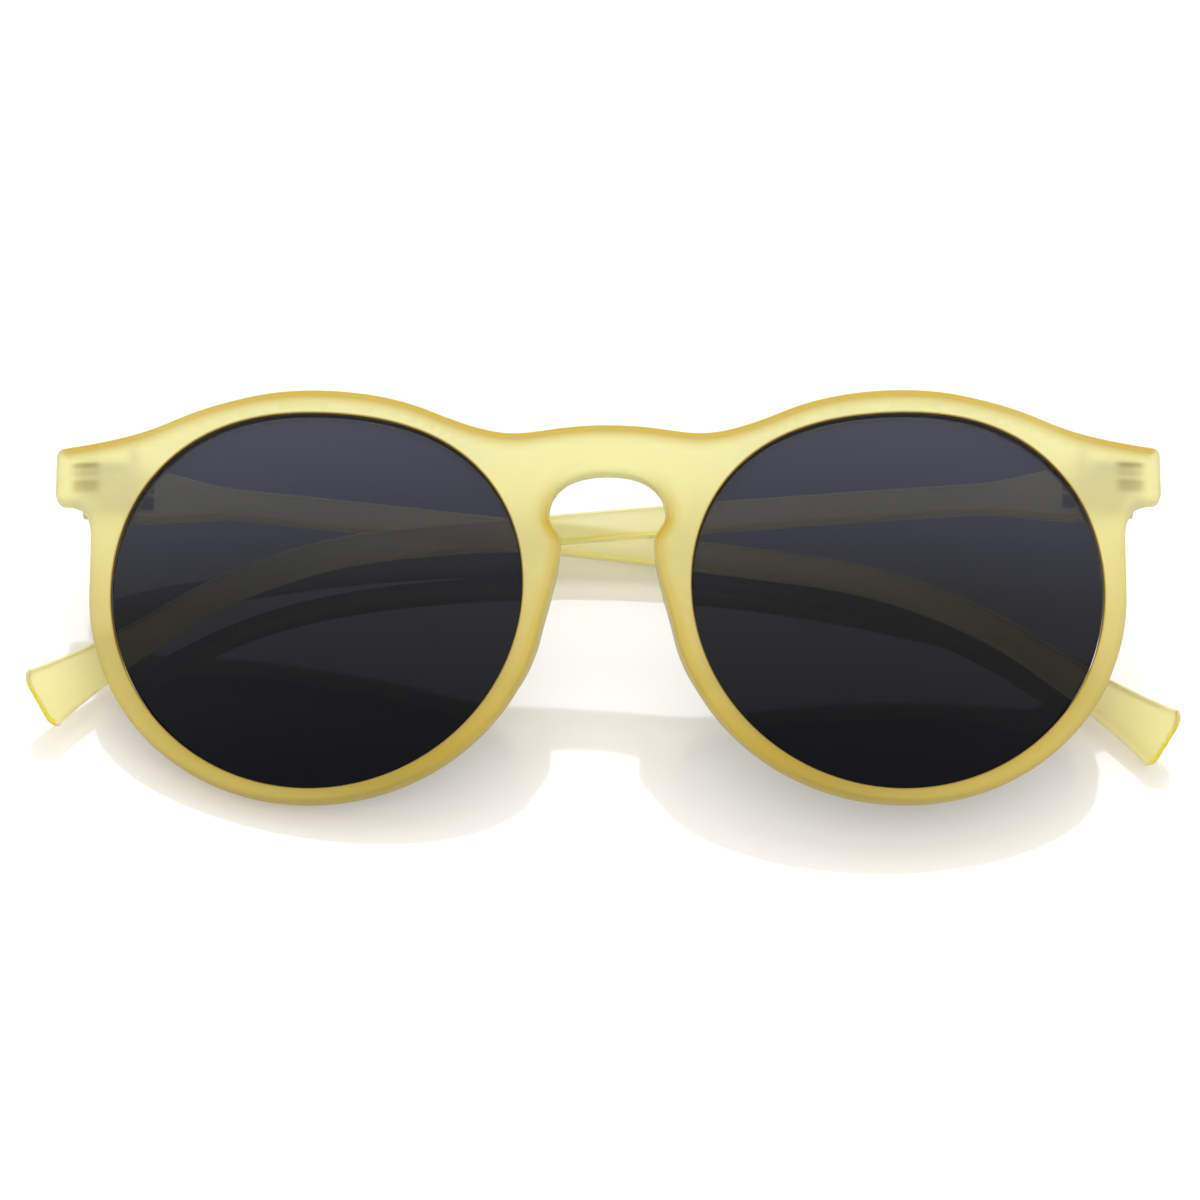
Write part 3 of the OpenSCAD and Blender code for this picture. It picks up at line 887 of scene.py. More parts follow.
@dataclass(frozen=True)
class FrostedPlastic:
    """The frosted, see-through yellow plastic of the front and the temples.

    Attributes:
        name: the material's name.
        tint: the colour of its surface, at the brow.
        painted_low_shade: the deeper, darker colour at the rims' bottoms, a painted shade.
        painted_shade_span: the heights between which the colour at the brow turns into that painted
            shade, in millimetres.
        wall: the colour of the walls that face up, painted shade where the light comes from deep
            inside.
        under: the colour of the walls that face down, painted light.
        under_at: the "edge" attribute's value at which they have the whole of that painted light.
        lip: the colour of the edge round a lens.
        seat: the near-black colour painted down the wall round a lens.
        seat_span: the depth down that wall that the two ramps reach to, in millimetres.
        depth_tint: the colour that light keeps as it goes through the plastic.
        density: how fast light takes on that colour, per metre.
        clear: the part of the light that goes through the surface.
        wall_clear: the same on the walls.
        roughness: how dull its surface is.
        haze: how much less and more dull its patches are.
        haze_scale: about how many of those patches there are in a metre.
        grain: the size of the fine grain, in metres.
        grain_depth: the depth of that grain, in metres.
        hinge: the colour of the shade painted in the end pieces where the hinges' bars show through.
    """

    name: str
    tint: Colour = (1.0, 0.99, 0.55)
    painted_low_shade: Colour = (0.72, 0.55, 0.07)
    painted_shade_span: Point2 = (6, 44)
    wall: Colour = (0.55, 0.36, 0.01)
    under: Colour = (1.0, 0.94, 0.4)
    under_at: float = -1.0
    lip: Colour = (0.5, 0.3, 0.03)
    seat: Colour = (0.02, 0.016, 0.008)
    seat_span: float = 4.0
    depth_tint: Colour = (0.99, 0.84, 0.06)
    density: float = 90.0
    clear: float = 0.55
    wall_clear: float = 0.0
    roughness: float = 0.42
    haze: Point2 = (0.05, 0.07)
    haze_scale: float = 120.0
    grain: float = 0.00025
    grain_depth: float = 0.00004
    hinge: Colour | None = None

    def hinge_bars(self, plan: Finish) -> Socket:
        """The shade of the hinge's bars, painted in the end pieces where they show through.

        Args:
            plan: the material's nodes.

        Returns:
            How strong that painted shade is, from 0 to 1.
        """
        parts = []
        for axis, start, end, stops in (
                (AXES.x, FRONT.end_x - 6.3, FRONT.end_x - 1.5,
                 ((0.0, 0), (0.3, 0.8), (0.7, 0.85), (1.0, 0))),
                (AXES.y, FRONT.end_low + 0.5, FRONT.end_top - 1.9,
                 ((0.0, 0), (0.2, 0.65), (0.36, 0.75), (0.5, 0.15), (0.6, 0.4), (0.72, 0.35),
                  (0.86, 0.95), (1.0, 0)))):
            shift = plan.calc("SUBTRACT", plan.along(axis), AXES.at(0, 0, 0).dot(axis))
            place = plan.span(plan.calc("ABSOLUTE", shift), start * MM, end * MM)
            parts.append(plan.ramp(place, stops, "EASE"))
        return plan.calc("MULTIPLY", *parts)

    def material(self) -> Material:
        """Builds the material.

        Returns:
            The material.
        """
        plan = Finish(self.name)
        low, high = (AXES.at(0, y, 0).dot(AXES.y) for y in self.painted_shade_span)
        edge = plan.attribute("edge")
        reach = plan.span(plan.attribute("seat"), end=self.seat_span)
        shades = [
            # Painted shade on the walls that face up, painted light on those that face down
            (self.wall, plan.span(edge)),
            (self.under, plan.span(edge, end=self.under_at)),
            # Down the wall of an opening: a deep gold lip, a near-black band, then the plastic again
            (self.lip, plan.ramp(reach, ((0.0, 0), (0.02, 1), (0.5, 1), (0.62, 0)))),
            (self.seat, plan.ramp(reach, ((0.025, 0), (0.06, 1), (0.5, 1), (0.62, 0)))),
        ]
        # Painted shade of the hinges' bars in the end pieces
        if self.hinge:
            shades.insert(0, (self.hinge, self.hinge_bars(plan)))
        # Painted shade: the plastic turns deeper and darker towards the rims' bottoms
        colour = plan.mixed(plan.span(plan.along(AXES.y), low, high), self.painted_low_shade, self.tint)
        for shade, part in shades:
            colour = plan.mixed(part, colour, shade)
        bump = plan.node("ShaderNodeBump", {
            "Strength": 0.1, "Distance": self.grain_depth,
            "Height": plan.noise(plan.spot, 1 / self.grain)})
        plan.set({
            "Base Color": colour,
            "Roughness": plan.span(plan.noise(plan.spot, self.haze_scale, 3.0),
                                   low=self.roughness - self.haze[0],
                                   high=self.roughness + self.haze[1]),
            # The walls are less clear than the flat sides, so that the shade and light painted on
            # them show
            "Transmission Weight": plan.span(plan.calc("ABSOLUTE", edge),
                                             low=self.clear, high=self.wall_clear),
            "Normal": bump.outputs["Normal"],
            "IOR": 1.47,
            "Specular IOR Level": 0.3,
            "Subsurface Weight": 0.25,
            "Subsurface Radius": (1.0, 0.9, 0.4),
            "Subsurface Scale": 0.0005,
        })
        depth = plan.node("ShaderNodeVolumeAbsorption", {
            "Color": self.depth_tint, "Density": self.density})
        plan.feed(plan.end.inputs["Volume"], depth.outputs["Volume"])
        return plan.material


@dataclass(frozen=True)
class SmokeLens:
    """The polished smoke-grey plastic of the lenses, a little clearer towards the brow, with a
    bluish reflection painted into its colour there.

    Attributes:
        name: the material's name.
        low: its colour at the bottom.
        high: its colour at the top, a painted bluish reflection of the light.
        low_alpha: how much one of its surfaces hides at the bottom.
        high_alpha: the same at the top.
        rise: the heights of bottom and top in the front's frame, in millimetres.
        even: the part of that height, from the bottom, over which the colour stays as it is.
    """

    name: str = "smoke_lens"
    low: Colour = (0.001, 0.001, 0.0015)
    high: Colour = (0.03, 0.034, 0.07)
    low_alpha: float = 0.86
    high_alpha: float = 0.69
    rise: Point2 = (2, 52)
    even: float = 0.45

    def material(self) -> Material:
        """Builds the material.

        Returns:
            The material.
        """
        plan = Finish(self.name)
        start, end = (AXES.at(0, y, 0).dot(AXES.y) for y in self.rise)
        height = plan.span(plan.along(AXES.y), start, end)
        plan.set({
            # The colour turns to a painted bluish reflection in the upper part
            "Base Color": plan.mixed(plan.span(height, self.even), self.low, self.high),
            "Alpha": plan.span(height, low=self.low_alpha, high=self.high_alpha),
            "Roughness": 0.03,
            "IOR": 1.5,
            "Specular Tint": (0.85, 0.88, 1.0),
        })
        return plan.material


@dataclass(frozen=True)
class HingeMetal:
    """The plain metal of the hinges and their screws, with fine scratches along the hinge."""

    name: str
    colour: Colour
    roughness: float
    scratches: Point3 = (900, 6000, 900)

    def material(self) -> Material:
        """Builds the material.

        Returns:
            The material.
        """
        plan = Finish(self.name)
        stretch = plan.node("ShaderNodeMapping", {"Vector": plan.spot, "Scale": self.scratches})
        plan.set({
            "Base Color": self.colour,
            "Metallic": 1,
            "Roughness": plan.span(plan.noise(stretch.outputs["Vector"], 1),
                                   low=self.roughness - 0.08, high=self.roughness + 0.12),
        })
        return plan.material


@dataclass
class FrontPiece:
    """The moulded front: rims, keyhole bridge and end pieces in one plate.

    Attributes:
        shape: its sizes.
        ramp_at: where the plate starts to thicken to an end piece, in millimetres.
        ramp_in: how far it takes to have the whole thickness.
        ramp_low: how far below an end piece it starts to thicken.
        back_room: how far the end pieces' backs stay inside the solid's.
        pad_room: the same for the nose pads.
    """

    shape: FrontShape
    ramp_at: float = 58.8
    ramp_in: float = 3.0
    ramp_low: float = 1.2
    back_room: float = 0.08
    pad_room: float = 0.02

    def thickness(self, x: float, y: float) -> float:
        """The plate's thickness, which grows to the nose pads and the end pieces' flat backs.

        Args:
            x: the place across the front, from its middle.
            y: the height on the front.

        Returns:
            The thickness, in millimetres.
        """
        shape = self.shape
        if abs(x) < shape.lens_x - shape.opening_r / 2:
            return shape.thick + max(0.0, shape.pad(y) - shape.bow(x) - self.pad_room)
        back = shape.mitre_d - self.back_room - shape.bow(x)
        out = smooth((abs(x) - self.ramp_at) / self.ramp_in)
        up = smooth((y - shape.end_low + self.ramp_low) / self.ramp_low)
        return shape.thick + (back - shape.thick) * (out * up)

    def place(self, x: float, y: float, depth: float) -> Vector:
        """A point of the bowed plate, in the scene."""
        return AXES.at(x, y, -self.shape.bow(x) - depth)

    def build(self, finish: FrostedPlastic) -> None:
        """Makes the front and puts it in place of the CAD node.

        Args:
            finish: the front's plastic.
        """
        shape = self.shape
        # The face also takes some of the edges' painted shade near its border
        plate = RoundedPlate(
            resample(shape.outline(), 0.5),
            [resample(shape.opening(side), 0.5) for side in Side],
            shape.edge_r, shape.opening_edge_r, self.thickness, spacing=0.9, border_shade=0.85,
        )
        obj = plate.build("moulded_front", self.place)
        obj.data.materials.append(finish.material())
        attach(obj, "front")
        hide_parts("front_frame")
        LOG.info("moulded_front: %d faces", len(obj.data.polygons))


@dataclass
class LensPiece:
    """One lens, a slice of a hollow ball with the opening's outline, made by Geometry Nodes.

    Attributes:
        side: the wearer's side that it is on.
        thick: its thickness, in millimetres.
        ball_r: the radius of its outer face.
        groove: how far it reaches into the rim.
        back: how far behind the rim's face its edge lies.
        rings: how many rings the mesh has, over both faces and the edge between them.
        spokes: how many points each ring has.
        side_share: the part of the rings that each face has.
    """

    side: Side
    thick: float = 1.6
    ball_r: float = 150.0
    groove: float = 0.1
    back: float = 1.5
    rings: int = 64
    spokes: int = 180
    side_share: float = 30 / 64

    def place(self, x: float, y: float, z: float) -> Vector:
        """A point of the lens's own frame, in the scene.

        Args:
            x: the place across the lens, from its middle outwards.
            y: the height, from its middle.
            z: how far forwards the point lies.

        Returns:
            The scene's point.
        """
        tilt = math.asin(FRONT.lens_x / FRONT.bow_r)
        lx = x * math.cos(tilt) + z * math.sin(tilt)
        lz = -x * math.sin(tilt) + z * math.cos(tilt)
        return AXES.at(self.side.value * (FRONT.lens_x + lx), FRONT.lens_y + y,
                       lz - FRONT.bow(FRONT.lens_x))

    def build(self, material: Material) -> None:
        """Makes the lens and puts it in place of the CAD node.

        Args:
            material: the lens's plastic.
        """
        plan = NodePlan("lens_blank")
        calc = plan.calc
        radius = plan.size("Radius", FRONT.opening_r + self.groove)
        flat = plan.size("Flat", FRONT.opening_w - FRONT.opening_h)
        power = plan.size("Flat Power", FRONT.flat_power)
        way = plan.size("Flat Direction", math.radians(FRONT.flat_dir))
        ball = plan.size("Ball Radius", self.ball_r)
        thick = plan.size("Thickness", self.thick)
        crown = self.ball_r - math.sqrt(self.ball_r ** 2 - FRONT.opening_r ** 2)
        rise = plan.size("Rise", crown - self.back)
        share = plan.size("Side Share", self.side_share)
        grid = plan.node("GeometryNodeMeshGrid", {
            "Size X": 1.0, "Size Y": 1.0, "Vertices X": plan.size("Spokes", self.spokes + 1),
            "Vertices Y": plan.size("Rings", self.rings + 1)})
        at = plan.node("ShaderNodeSeparateXYZ",
                       {"Vector": plan.node("GeometryNodeInputPosition").outputs["Position"]})
        round_ = calc("MULTIPLY", calc("ADD", at.outputs["X"], 0.5), math.tau)
        over = calc("ADD", at.outputs["Y"], 0.5)
        near = calc("DIVIDE", calc("MINIMUM", over, calc("SUBTRACT", 1.0, over)), share)
        part = calc("SINE", calc("MULTIPLY", calc("MINIMUM", near, 1.0), math.pi / 2))
        facing = calc("MAXIMUM", calc("COSINE", calc("SUBTRACT", round_, way)), 0.0)
        cut = calc("MULTIPLY", flat, calc("POWER", facing, power))
        edge = calc("SUBTRACT", radius, cut)
        out = calc("MULTIPLY", part, edge)
        square = calc("MULTIPLY", out, out)
        inner = calc("SUBTRACT", ball, thick)
        heights = [calc("SQRT", calc("SUBTRACT", calc("MULTIPLY", r, r), square))
                   for r in (ball, inner)]
        past = calc("DIVIDE", calc("SUBTRACT", over, share),
                    calc("SUBTRACT", 1.0, calc("MULTIPLY", share, 2.0)))
        down = calc("MINIMUM", calc("MAXIMUM", past, 0.0), 1.0)
        drop = calc("MULTIPLY", down, calc("SUBTRACT", heights[1], heights[0]))
        z = calc("ADD", calc("SUBTRACT", calc("ADD", heights[0], drop), ball), rise)
        x = calc("MULTIPLY", out, calc("COSINE", round_))
        y = calc("MULTIPLY", out, calc("SINE", round_))
        moved = plan.node("GeometryNodeSetPosition", {
            "Geometry": grid.outputs["Mesh"], "Position": plan.vector(x, y, z)})
        closed = plan.node("GeometryNodeMergeByDistance", {
            "Geometry": moved.outputs["Geometry"], "Distance": 0.001})
        obj = plan.make(f"{self.side.word}_lens", closed.outputs["Geometry"], material, self.place)
        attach(obj, "front")
        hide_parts(f"lens_{self.side.word}")


@dataclass
class TempleShape:
    """The sizes of a temple, in millimetres, its outline and the way that it bows.

    rest_at is the angle of the far rim's point that the folded left temple lies behind, and
    fold_guess the fold that the search for its place starts from, both in degrees.
    """

    length: float = 149.0
    bow_r: float = 214.0
    tip_bow_start: float = 104.0
    tip_bow_r: float = 92.0
    height: float = 3.8
    tip_height: float = 8.0
    root_thick: float = 2.7
    tip_thick: float = 2.1
    bend_start: float = 94.5
    bend_r: float = 65.0
    root_slope: float = -1.0
    arm_slope: float = 8.4
    tip_slope: float = 36.0
    root_len: float = 6.0
    taper_len: float = 14.0
    paddle_len: float = 28.0
    flare_power: float = 2.5
    corner_r: float = 1.7
    barrel_r: float = 1.15
    face_gap: float = 1.27
    tip_in: float = 2.0
    fold_gap: float = 0.4
    cross_gap: float = 0.2
    cross_tilt: float = 0.75
    edge_r: float = 0.5
    end_arc: float = 75.0
    rest_at: float = -17.0
    fold_guess: float = 18.0
    steps: int = 240

    def __post_init__(self) -> None:
        """Works out the bend, the reach, the open angle and the folds."""
        self.bend_len = self.bend_r * math.radians(self.tip_slope - self.arm_slope)
        self.reach = self.middle(self.length)[0]
        end = self.inner(self.reach)
        self.chord_turn = math.atan2(self.face_gap - end[1], end[0])
        self.root_out = self.chord_turn - math.radians(self.tip_in)
        px, _, pz = AXES.pin
        far = FRONT.rim_point(self.rest_at)
        left = self.fold_to(px + far[0], -pz - FRONT.bow(far[0]) - FRONT.thick - self.fold_gap)
        over = [self.fold_to(px + x, self.folded_z(left, px - x, 1) - self.cross_gap)
                for x in self.crossing(left)]
        self.folds = {Side.LEFT: left, Side.RIGHT: max(over)}

    def slope(self, t: float) -> float:
        """The slope of the middle line at a length along it, in radians.

        Args:
            t: the length along the middle line, from the pin.

        Returns:
            How steeply it goes down.
        """
        if t < self.bend_start:
            return math.radians(self.root_slope + (self.arm_slope - self.root_slope)
                                * t / self.bend_start)
        bent = min(1.0, (t - self.bend_start) / self.bend_len)
        return math.radians(self.arm_slope + (self.tip_slope - self.arm_slope) * bent)

    def middle(self, t: float) -> Point2:
        """The middle line of the unrolled side view, at a length along it from the pin.

        Args:
            t: the length along the middle line, from the pin.

        Returns:
            The point.
        """
        root, arm, tip = (math.radians(a) for a in (self.root_slope, self.arm_slope, self.tip_slope))
        arm_r = self.bend_start / (arm - root)
        a = self.slope(min(t, self.bend_start))
        b = max(arm, self.slope(t))
        rest = max(0.0, t - self.bend_start - self.bend_len)
        x = arm_r * (math.sin(a) - math.sin(root)) + self.bend_r * (math.sin(b) - math.sin(arm))
        y = arm_r * (math.cos(a) - math.cos(root)) + self.bend_r * (math.cos(b) - math.cos(arm))
        return x + rest * math.cos(tip), y - rest * math.sin(tip)

    def tall(self, t: float) -> float:
        """The temple's height at a length along it.

        Args:
            t: the length along the middle line, from the pin.

        Returns:
            The height, in millimetres.
        """
        flare = max(0.0, (t - self.length + self.paddle_len) / self.paddle_len) ** self.flare_power
        root = 1 - smooth((t - self.root_len) / self.taper_len)
        return (self.height + (FRONT.end_h - self.height) * root
                + (self.tip_height - self.height) * flare)

    def edge_point(self, t: float, up: int) -> Point2:
        """A point of the upper or lower edge of the side view."""
        (x, y), a, h = self.middle(t), self.slope(t), self.tall(t) / 2
        return x + up * h * math.sin(a), y + up * h * math.cos(a)

    def root_start(self) -> float:
        """Where the temple starts, at the end piece's back, along its inner side from the pin."""
        return (math.sin(self.root_out) * self.face_gap - self.barrel_r) / math.cos(self.root_out)

    def outline(self) -> Loop:
        """The outline of the unrolled side view, anticlockwise.

        Returns:
            Its points.
        """
        start, end = self.root_start(), self.length - self.corner_r
        ts = [start + (end - start) * i / self.steps for i in range(self.steps + 1)]
        a, (x, y) = self.tip_slope, self.middle(self.length)
        along = polar(1, -a)
        across = (-along[1], along[0])
        h = self.tip_height / 2 - self.corner_r
        tips = [(x - self.corner_r * along[0] + s * h * across[0],
                 y - self.corner_r * along[1] + s * h * across[1]) for s in (1, -1)]
        loop = [self.edge_point(t, 1) for t in ts]
        loop += corner(tips[0], self.corner_r, self.end_arc - a, -a, 12)
        loop += corner(tips[1], self.corner_r, -a, -self.end_arc - a, 12)
        loop += [self.edge_point(t, -1) for t in reversed(ts)]
        return loop[::-1]

    def turn(self, x: float) -> float:
        """How far the bowed temple has turned at a length along its inner side, in radians."""
        past = max(0.0, x - self.tip_bow_start)
        return min(x, self.tip_bow_start) / self.bow_r + past / self.tip_bow_r

    def inner(self, x: float) -> Point2:
        """The inner side seen from above, at a length along it.

        Args:
            x: the length along the inner side, from the pin.

        Returns:
            The point, along the root and away from the head.
        """
        a, b = min(x, self.tip_bow_start) / self.bow_r, self.turn(x)
        return (self.bow_r * math.sin(a) + self.tip_bow_r * (math.sin(b) - math.sin(a)),
                self.face_gap + self.bow_r * (math.cos(a) - 1)
                + self.tip_bow_r * (math.cos(b) - math.cos(a)))

    def thickness(self, x: float) -> float:
        """The temple's thickness at a length along its inner side."""
        return self.root_thick + (self.tip_thick - self.root_thick) * max(0.0, x) / self.reach

    def folded_z(self, fold: float, x: float, out: float = 0.0) -> float:
        """How far a side of the folded temple lies before its pin.

        Args:
            fold: how far it is folded, in radians.
            x: the place across the front, from the pin.
            out: 0 for the inner side and 1 for the outer side.

        Returns:
            The distance, forwards.
        """
        p = []
        for x_along in np.linspace(-0.1, 1.1, self.steps + 1) * self.reach:
            (px, pz), a = self.inner(x_along), self.turn(x_along)
            deep = out * self.thickness(x_along)
            p.append((px + deep * math.sin(a), pz + deep * math.cos(a)))
        p = np.array(p)
        across = p[:, 0] * math.cos(fold) - p[:, 1] * math.sin(fold)
        return float(np.interp(x, across, -p[:, 0] * math.sin(fold) - p[:, 1] * math.cos(fold)))

    def fold_to(self, x: float, z: float) -> float:
        """The fold that lays the inner side through a point, in radians.

        Args:
            x: the point's place across the front, from the pin.
            z: how far forwards of the pin it lies.

        Returns:
            The fold.
        """
        fold = math.radians(self.fold_guess)
        for _ in range(6):
            fold += (self.folded_z(fold, x) - z) / x
        return fold

    def crossing(self, fold: float) -> list[float]:
        """The places across the front at which the two folded temples lie over each other.

        Args:
            fold: the left temple's fold, in radians.

        Returns:
            The places, from the front's middle, in millimetres.
        """
        points = [self.middle(self.length * i / 100) for i in range(101)]
        across = [self.inner(x)[0] * math.cos(fold) - self.inner(x)[1] * math.sin(fold)
                  for x, _ in points]
        heights = [y for _, y in points]
        px = AXES.pin[0]
        ride = 2 * px * math.sin(math.radians(self.cross_tilt))
        places = [FRONT.lens_x * i / 36 for i in range(-36, 37)]
        return [x for x in places
                if abs(np.interp(px - x, across, heights) - np.interp(px + x, across, heights)
                       + ride) < self.height + self.cross_gap]


TEMPLE = TempleShape()


@dataclass
class HingeFrame:
    """A hinge's place: along the pin, across it and the turn of the folded temple."""

    side: Side

    def at(self, x: float, y: float, z: float) -> Vector:
        """A point of the hinge's own frame, +X outwards, +Y along the pin and +Z forwards.

        Args:
            x: the distance outwards.
            y: the distance up along the pin.
            z: the distance forwards.

        Returns:
            The scene's point.
        """
        tilt = -self.side.value * math.radians(TEMPLE.cross_tilt)
        px, py, pz = AXES.pin
        hx = x * math.cos(tilt) - y * math.sin(tilt)
        hy = x * math.sin(tilt) + y * math.cos(tilt)
        return AXES.at(self.side.value * (px + hx), py + hy, pz + z)

    def on_temple(self, x: float, y: float, z: float) -> Vector:
        """A point of the temple's own frame, +X along its root and +Z away from the head.

        Args:
            x: the distance along the root.
            y: the distance up along the pin.
            z: the distance away from the head.

        Returns:
            The scene's point.
        """
        fold = TEMPLE.folds[self.side]
        return self.at(z * math.sin(fold) - x * math.cos(fold), y,
                       -x * math.sin(fold) - z * math.cos(fold))


@dataclass
class HingeLeaf:
    """A hinge's leaf: barrels round the pin, their webs and a toothed plate set in the plastic.

    Attributes:
        barrels: how many barrels it has.
        first: the middle of the lowest barrel, along the pin, in millimetres.
        plate: where the plate starts and ends, across the pin.
        teeth: how many bars the plate is cut into.
        pitch: the distance from one barrel to the next.
        face_room: how far under the temple's or end piece's face the plate lies.
        spine_part: the spine's thickness, as a part of the plate's.
        spine_room: how far the spine lies under the plate's face.
    """

    barrels: int
    first: float
    plate: tuple[float, float]
    teeth: int
    pitch: float = 2.7067
    barrel_h: float = 1.2933
    barrel_r: float = 1.15
    bore_r: float = 0.6
    web_w: float = 0.98
    thick: float = 0.88
    height: float = 3.96
    tooth_gap: float = 0.42
    spine_w: float = 1.3
    round_r: float = 0.12
    face_room: float = 0.01
    spine_part: float = 0.96
    spine_room: float = 0.012

    def build(self, name: str, place: Placer, material: Material) -> Piece:
        """Makes the leaf by Geometry Nodes.

        Args:
            name: the piece's name.
            place: gives the scene's point for a point of the hinge's frame.
            material: the leaf's metal.

        Returns:
            The object.
        """
        plan = NodePlan("hinge_leaf")
        barrels, teeth = plan.size("Barrels", self.barrels), plan.size("Teeth", self.teeth)
        pitch, height = plan.size("Pitch", self.pitch), plan.size("Barrel Height", self.barrel_h)
        radius, bore = plan.size("Barrel Radius", self.barrel_r), plan.size("Bore", self.bore_r)
        thick, web = plan.size("Plate Thickness", self.thick), plan.size("Web Width", self.web_w)
        gap, plate_h = plan.size("Tooth Gap", self.tooth_gap), plan.size("Plate Height", self.height)
        start, end = plan.size("Plate Start", self.plate[0]), plan.size("Plate End", self.plate[1])
        face = plan.size("Face Gap", TEMPLE.face_gap + self.face_room)
        calc = plan.calc
        middle = calc("MULTIPLY", calc("ADD", radius, bore), 0.5)
        wall = plan.rounded(calc("SUBTRACT", radius, bore), height, self.round_r)
        tube = plan.drawn(plan.circle(middle, 48), wall)
        barrel = plan.moved(tube, plan.vector(), (math.pi / 2, 0, 0))
        reach = calc("ADD", calc("SUBTRACT", face, middle), calc("MULTIPLY", thick, 0.5))
        neck = plan.moved(plan.swept(plan.rounded(web, height, self.round_r), reach),
                          plan.vector(z=middle))
        knuckles = plan.row(plan.joined(barrel, neck), barrels,
                            plan.vector(y=plan.size("First", self.first)), plan.vector(y=pitch))
        whole_h = calc("ADD", plate_h, gap)
        step = calc("DIVIDE", whole_h, teeth)
        bar = plan.swept(plan.rounded(calc("SUBTRACT", end, start), calc("SUBTRACT", step, gap),
                                      self.round_r), thick)
        lowest = calc("MULTIPLY", calc("SUBTRACT", step, whole_h), 0.5)
        across = calc("MULTIPLY", calc("ADD", start, end), 0.5)
        bars = plan.row(bar, teeth, plan.vector(across, lowest, face), plan.vector(y=step))
        spine = plan.moved(plan.swept(plan.rounded(self.spine_w, plate_h, self.round_r),
                                      calc("MULTIPLY", thick, self.spine_part)),
                           plan.vector(z=calc("ADD", face, self.spine_room)))
        return plan.make(name, plan.joined(knuckles, bars, spine), material, place)


@dataclass
class HingeScrew:
    """The screw that serves as the hinge pin, with a slotted head and a threaded end.

    Attributes:
        radius: the shank's radius, in millimetres.
        length: its length, up to the head.
        head_r: the head's radius.
        head_h: its height.
        slot_w: the width of the slot in it.
        slot_deep: how deep that slot is.
        turns: how many rings the thread shows.
        thread_pitch: the distance from one ring to the next.
        thread_r: how far a ring stands out.
        thread_at: how far from the end the first ring is, in pitches.
    """

    radius: float = 0.545
    length: float = 3.98
    head_r: float = 0.94
    head_h: float = 0.45
    slot_w: float = 0.3
    slot_deep: float = 0.25
    turns: int = 6
    thread_pitch: float = 0.2
    thread_r: float = 0.018
    thread_at: float = 0.6

    def build(self, name: str, place: Placer, material: Material) -> Piece:
        """Makes the screw by Geometry Nodes.

        Args:
            name: the piece's name.
            place: gives the scene's point for a point of the hinge's frame.
            material: the screw's metal.

        Returns:
            The object.
        """
        plan = NodePlan("hinge_screw")
        radius, length = plan.size("Radius", self.radius), plan.size("Length", self.length)
        head_r, head_h = plan.size("Head Radius", self.head_r), plan.size("Head Height", self.head_h)
        turns, pitch = plan.size("Turns", self.turns), plan.size("Thread Pitch", self.thread_pitch)
        slot_w, deep = plan.size("Slot Width", self.slot_w), plan.size("Slot Depth", self.slot_deep)
        calc, shank = plan.calc, plan.circle(radius, 40)
        pin = plan.swept(shank, length)
        head = plan.moved(plan.swept(plan.circle(head_r, 48), head_h), plan.vector(z=length))
        bar = plan.node("GeometryNodeMeshCube", {
            "Size": plan.vector(calc("MULTIPLY", head_r, 3.0), slot_w, deep)}).outputs["Mesh"]
        top = calc("ADD", calc("ADD", length, head_h), calc("MULTIPLY", deep, -0.5))
        slot = plan.moved(bar, plan.vector(z=calc("ADD", top, 0.001)))
        cut = plan.node("GeometryNodeMeshBoolean", {"Mesh 1": head, "Mesh 2": slot},
                        operation="DIFFERENCE")
        ring = plan.drawn(shank, plan.circle(self.thread_r, 6))
        threads = plan.row(ring, turns, plan.vector(z=calc("MULTIPLY", pitch, self.thread_at)),
                           plan.vector(z=pitch))
        whole = plan.joined(pin, cut.outputs["Mesh"], threads)
        low = plan.vector(y=calc("MULTIPLY", length, -0.5))
        return plan.make(name, plan.moved(whole, low, (-math.pi / 2, 0, 0)), material, place)


@dataclass
class HingePiece:
    """One hinge: the end piece's leaf, the temple's leaf and the screw between them."""

    side: Side

    def build(self, steel: Material, bright: Material) -> None:
        """Makes the three pieces and puts them in place of the CAD nodes.

        Args:
            steel: the leaves' metal.
            bright: the screw's metal.
        """
        frame_at = HingeFrame(self.side)
        word, body = self.side.word, self.side.body
        front = HingeLeaf(barrels=1, first=0.0, plate=(-4.58, 0.49), teeth=3)
        temple = HingeLeaf(barrels=2, first=-1.3533, plate=(-0.49, 8.58), teeth=2)
        screw = HingeScrew()
        pieces = (
            (front.build(f"{word}_end_leaf", frame_at.at, steel), "front",
             f"front_hinge_leaf_{word}", "hinge_metal"),
            (temple.build(f"{word}_arm_leaf", frame_at.on_temple, steel), body,
             f"temple_hinge_leaf_{word}", "hinge_metal"),
            (screw.build(f"{word}_hinge_pin", frame_at.on_temple, bright), body,
             f"hinge_screw_{word}", "screw_metal"),
        )
        for obj, rider, node, slot in pieces:
            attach(obj, rider)
            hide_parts(node)


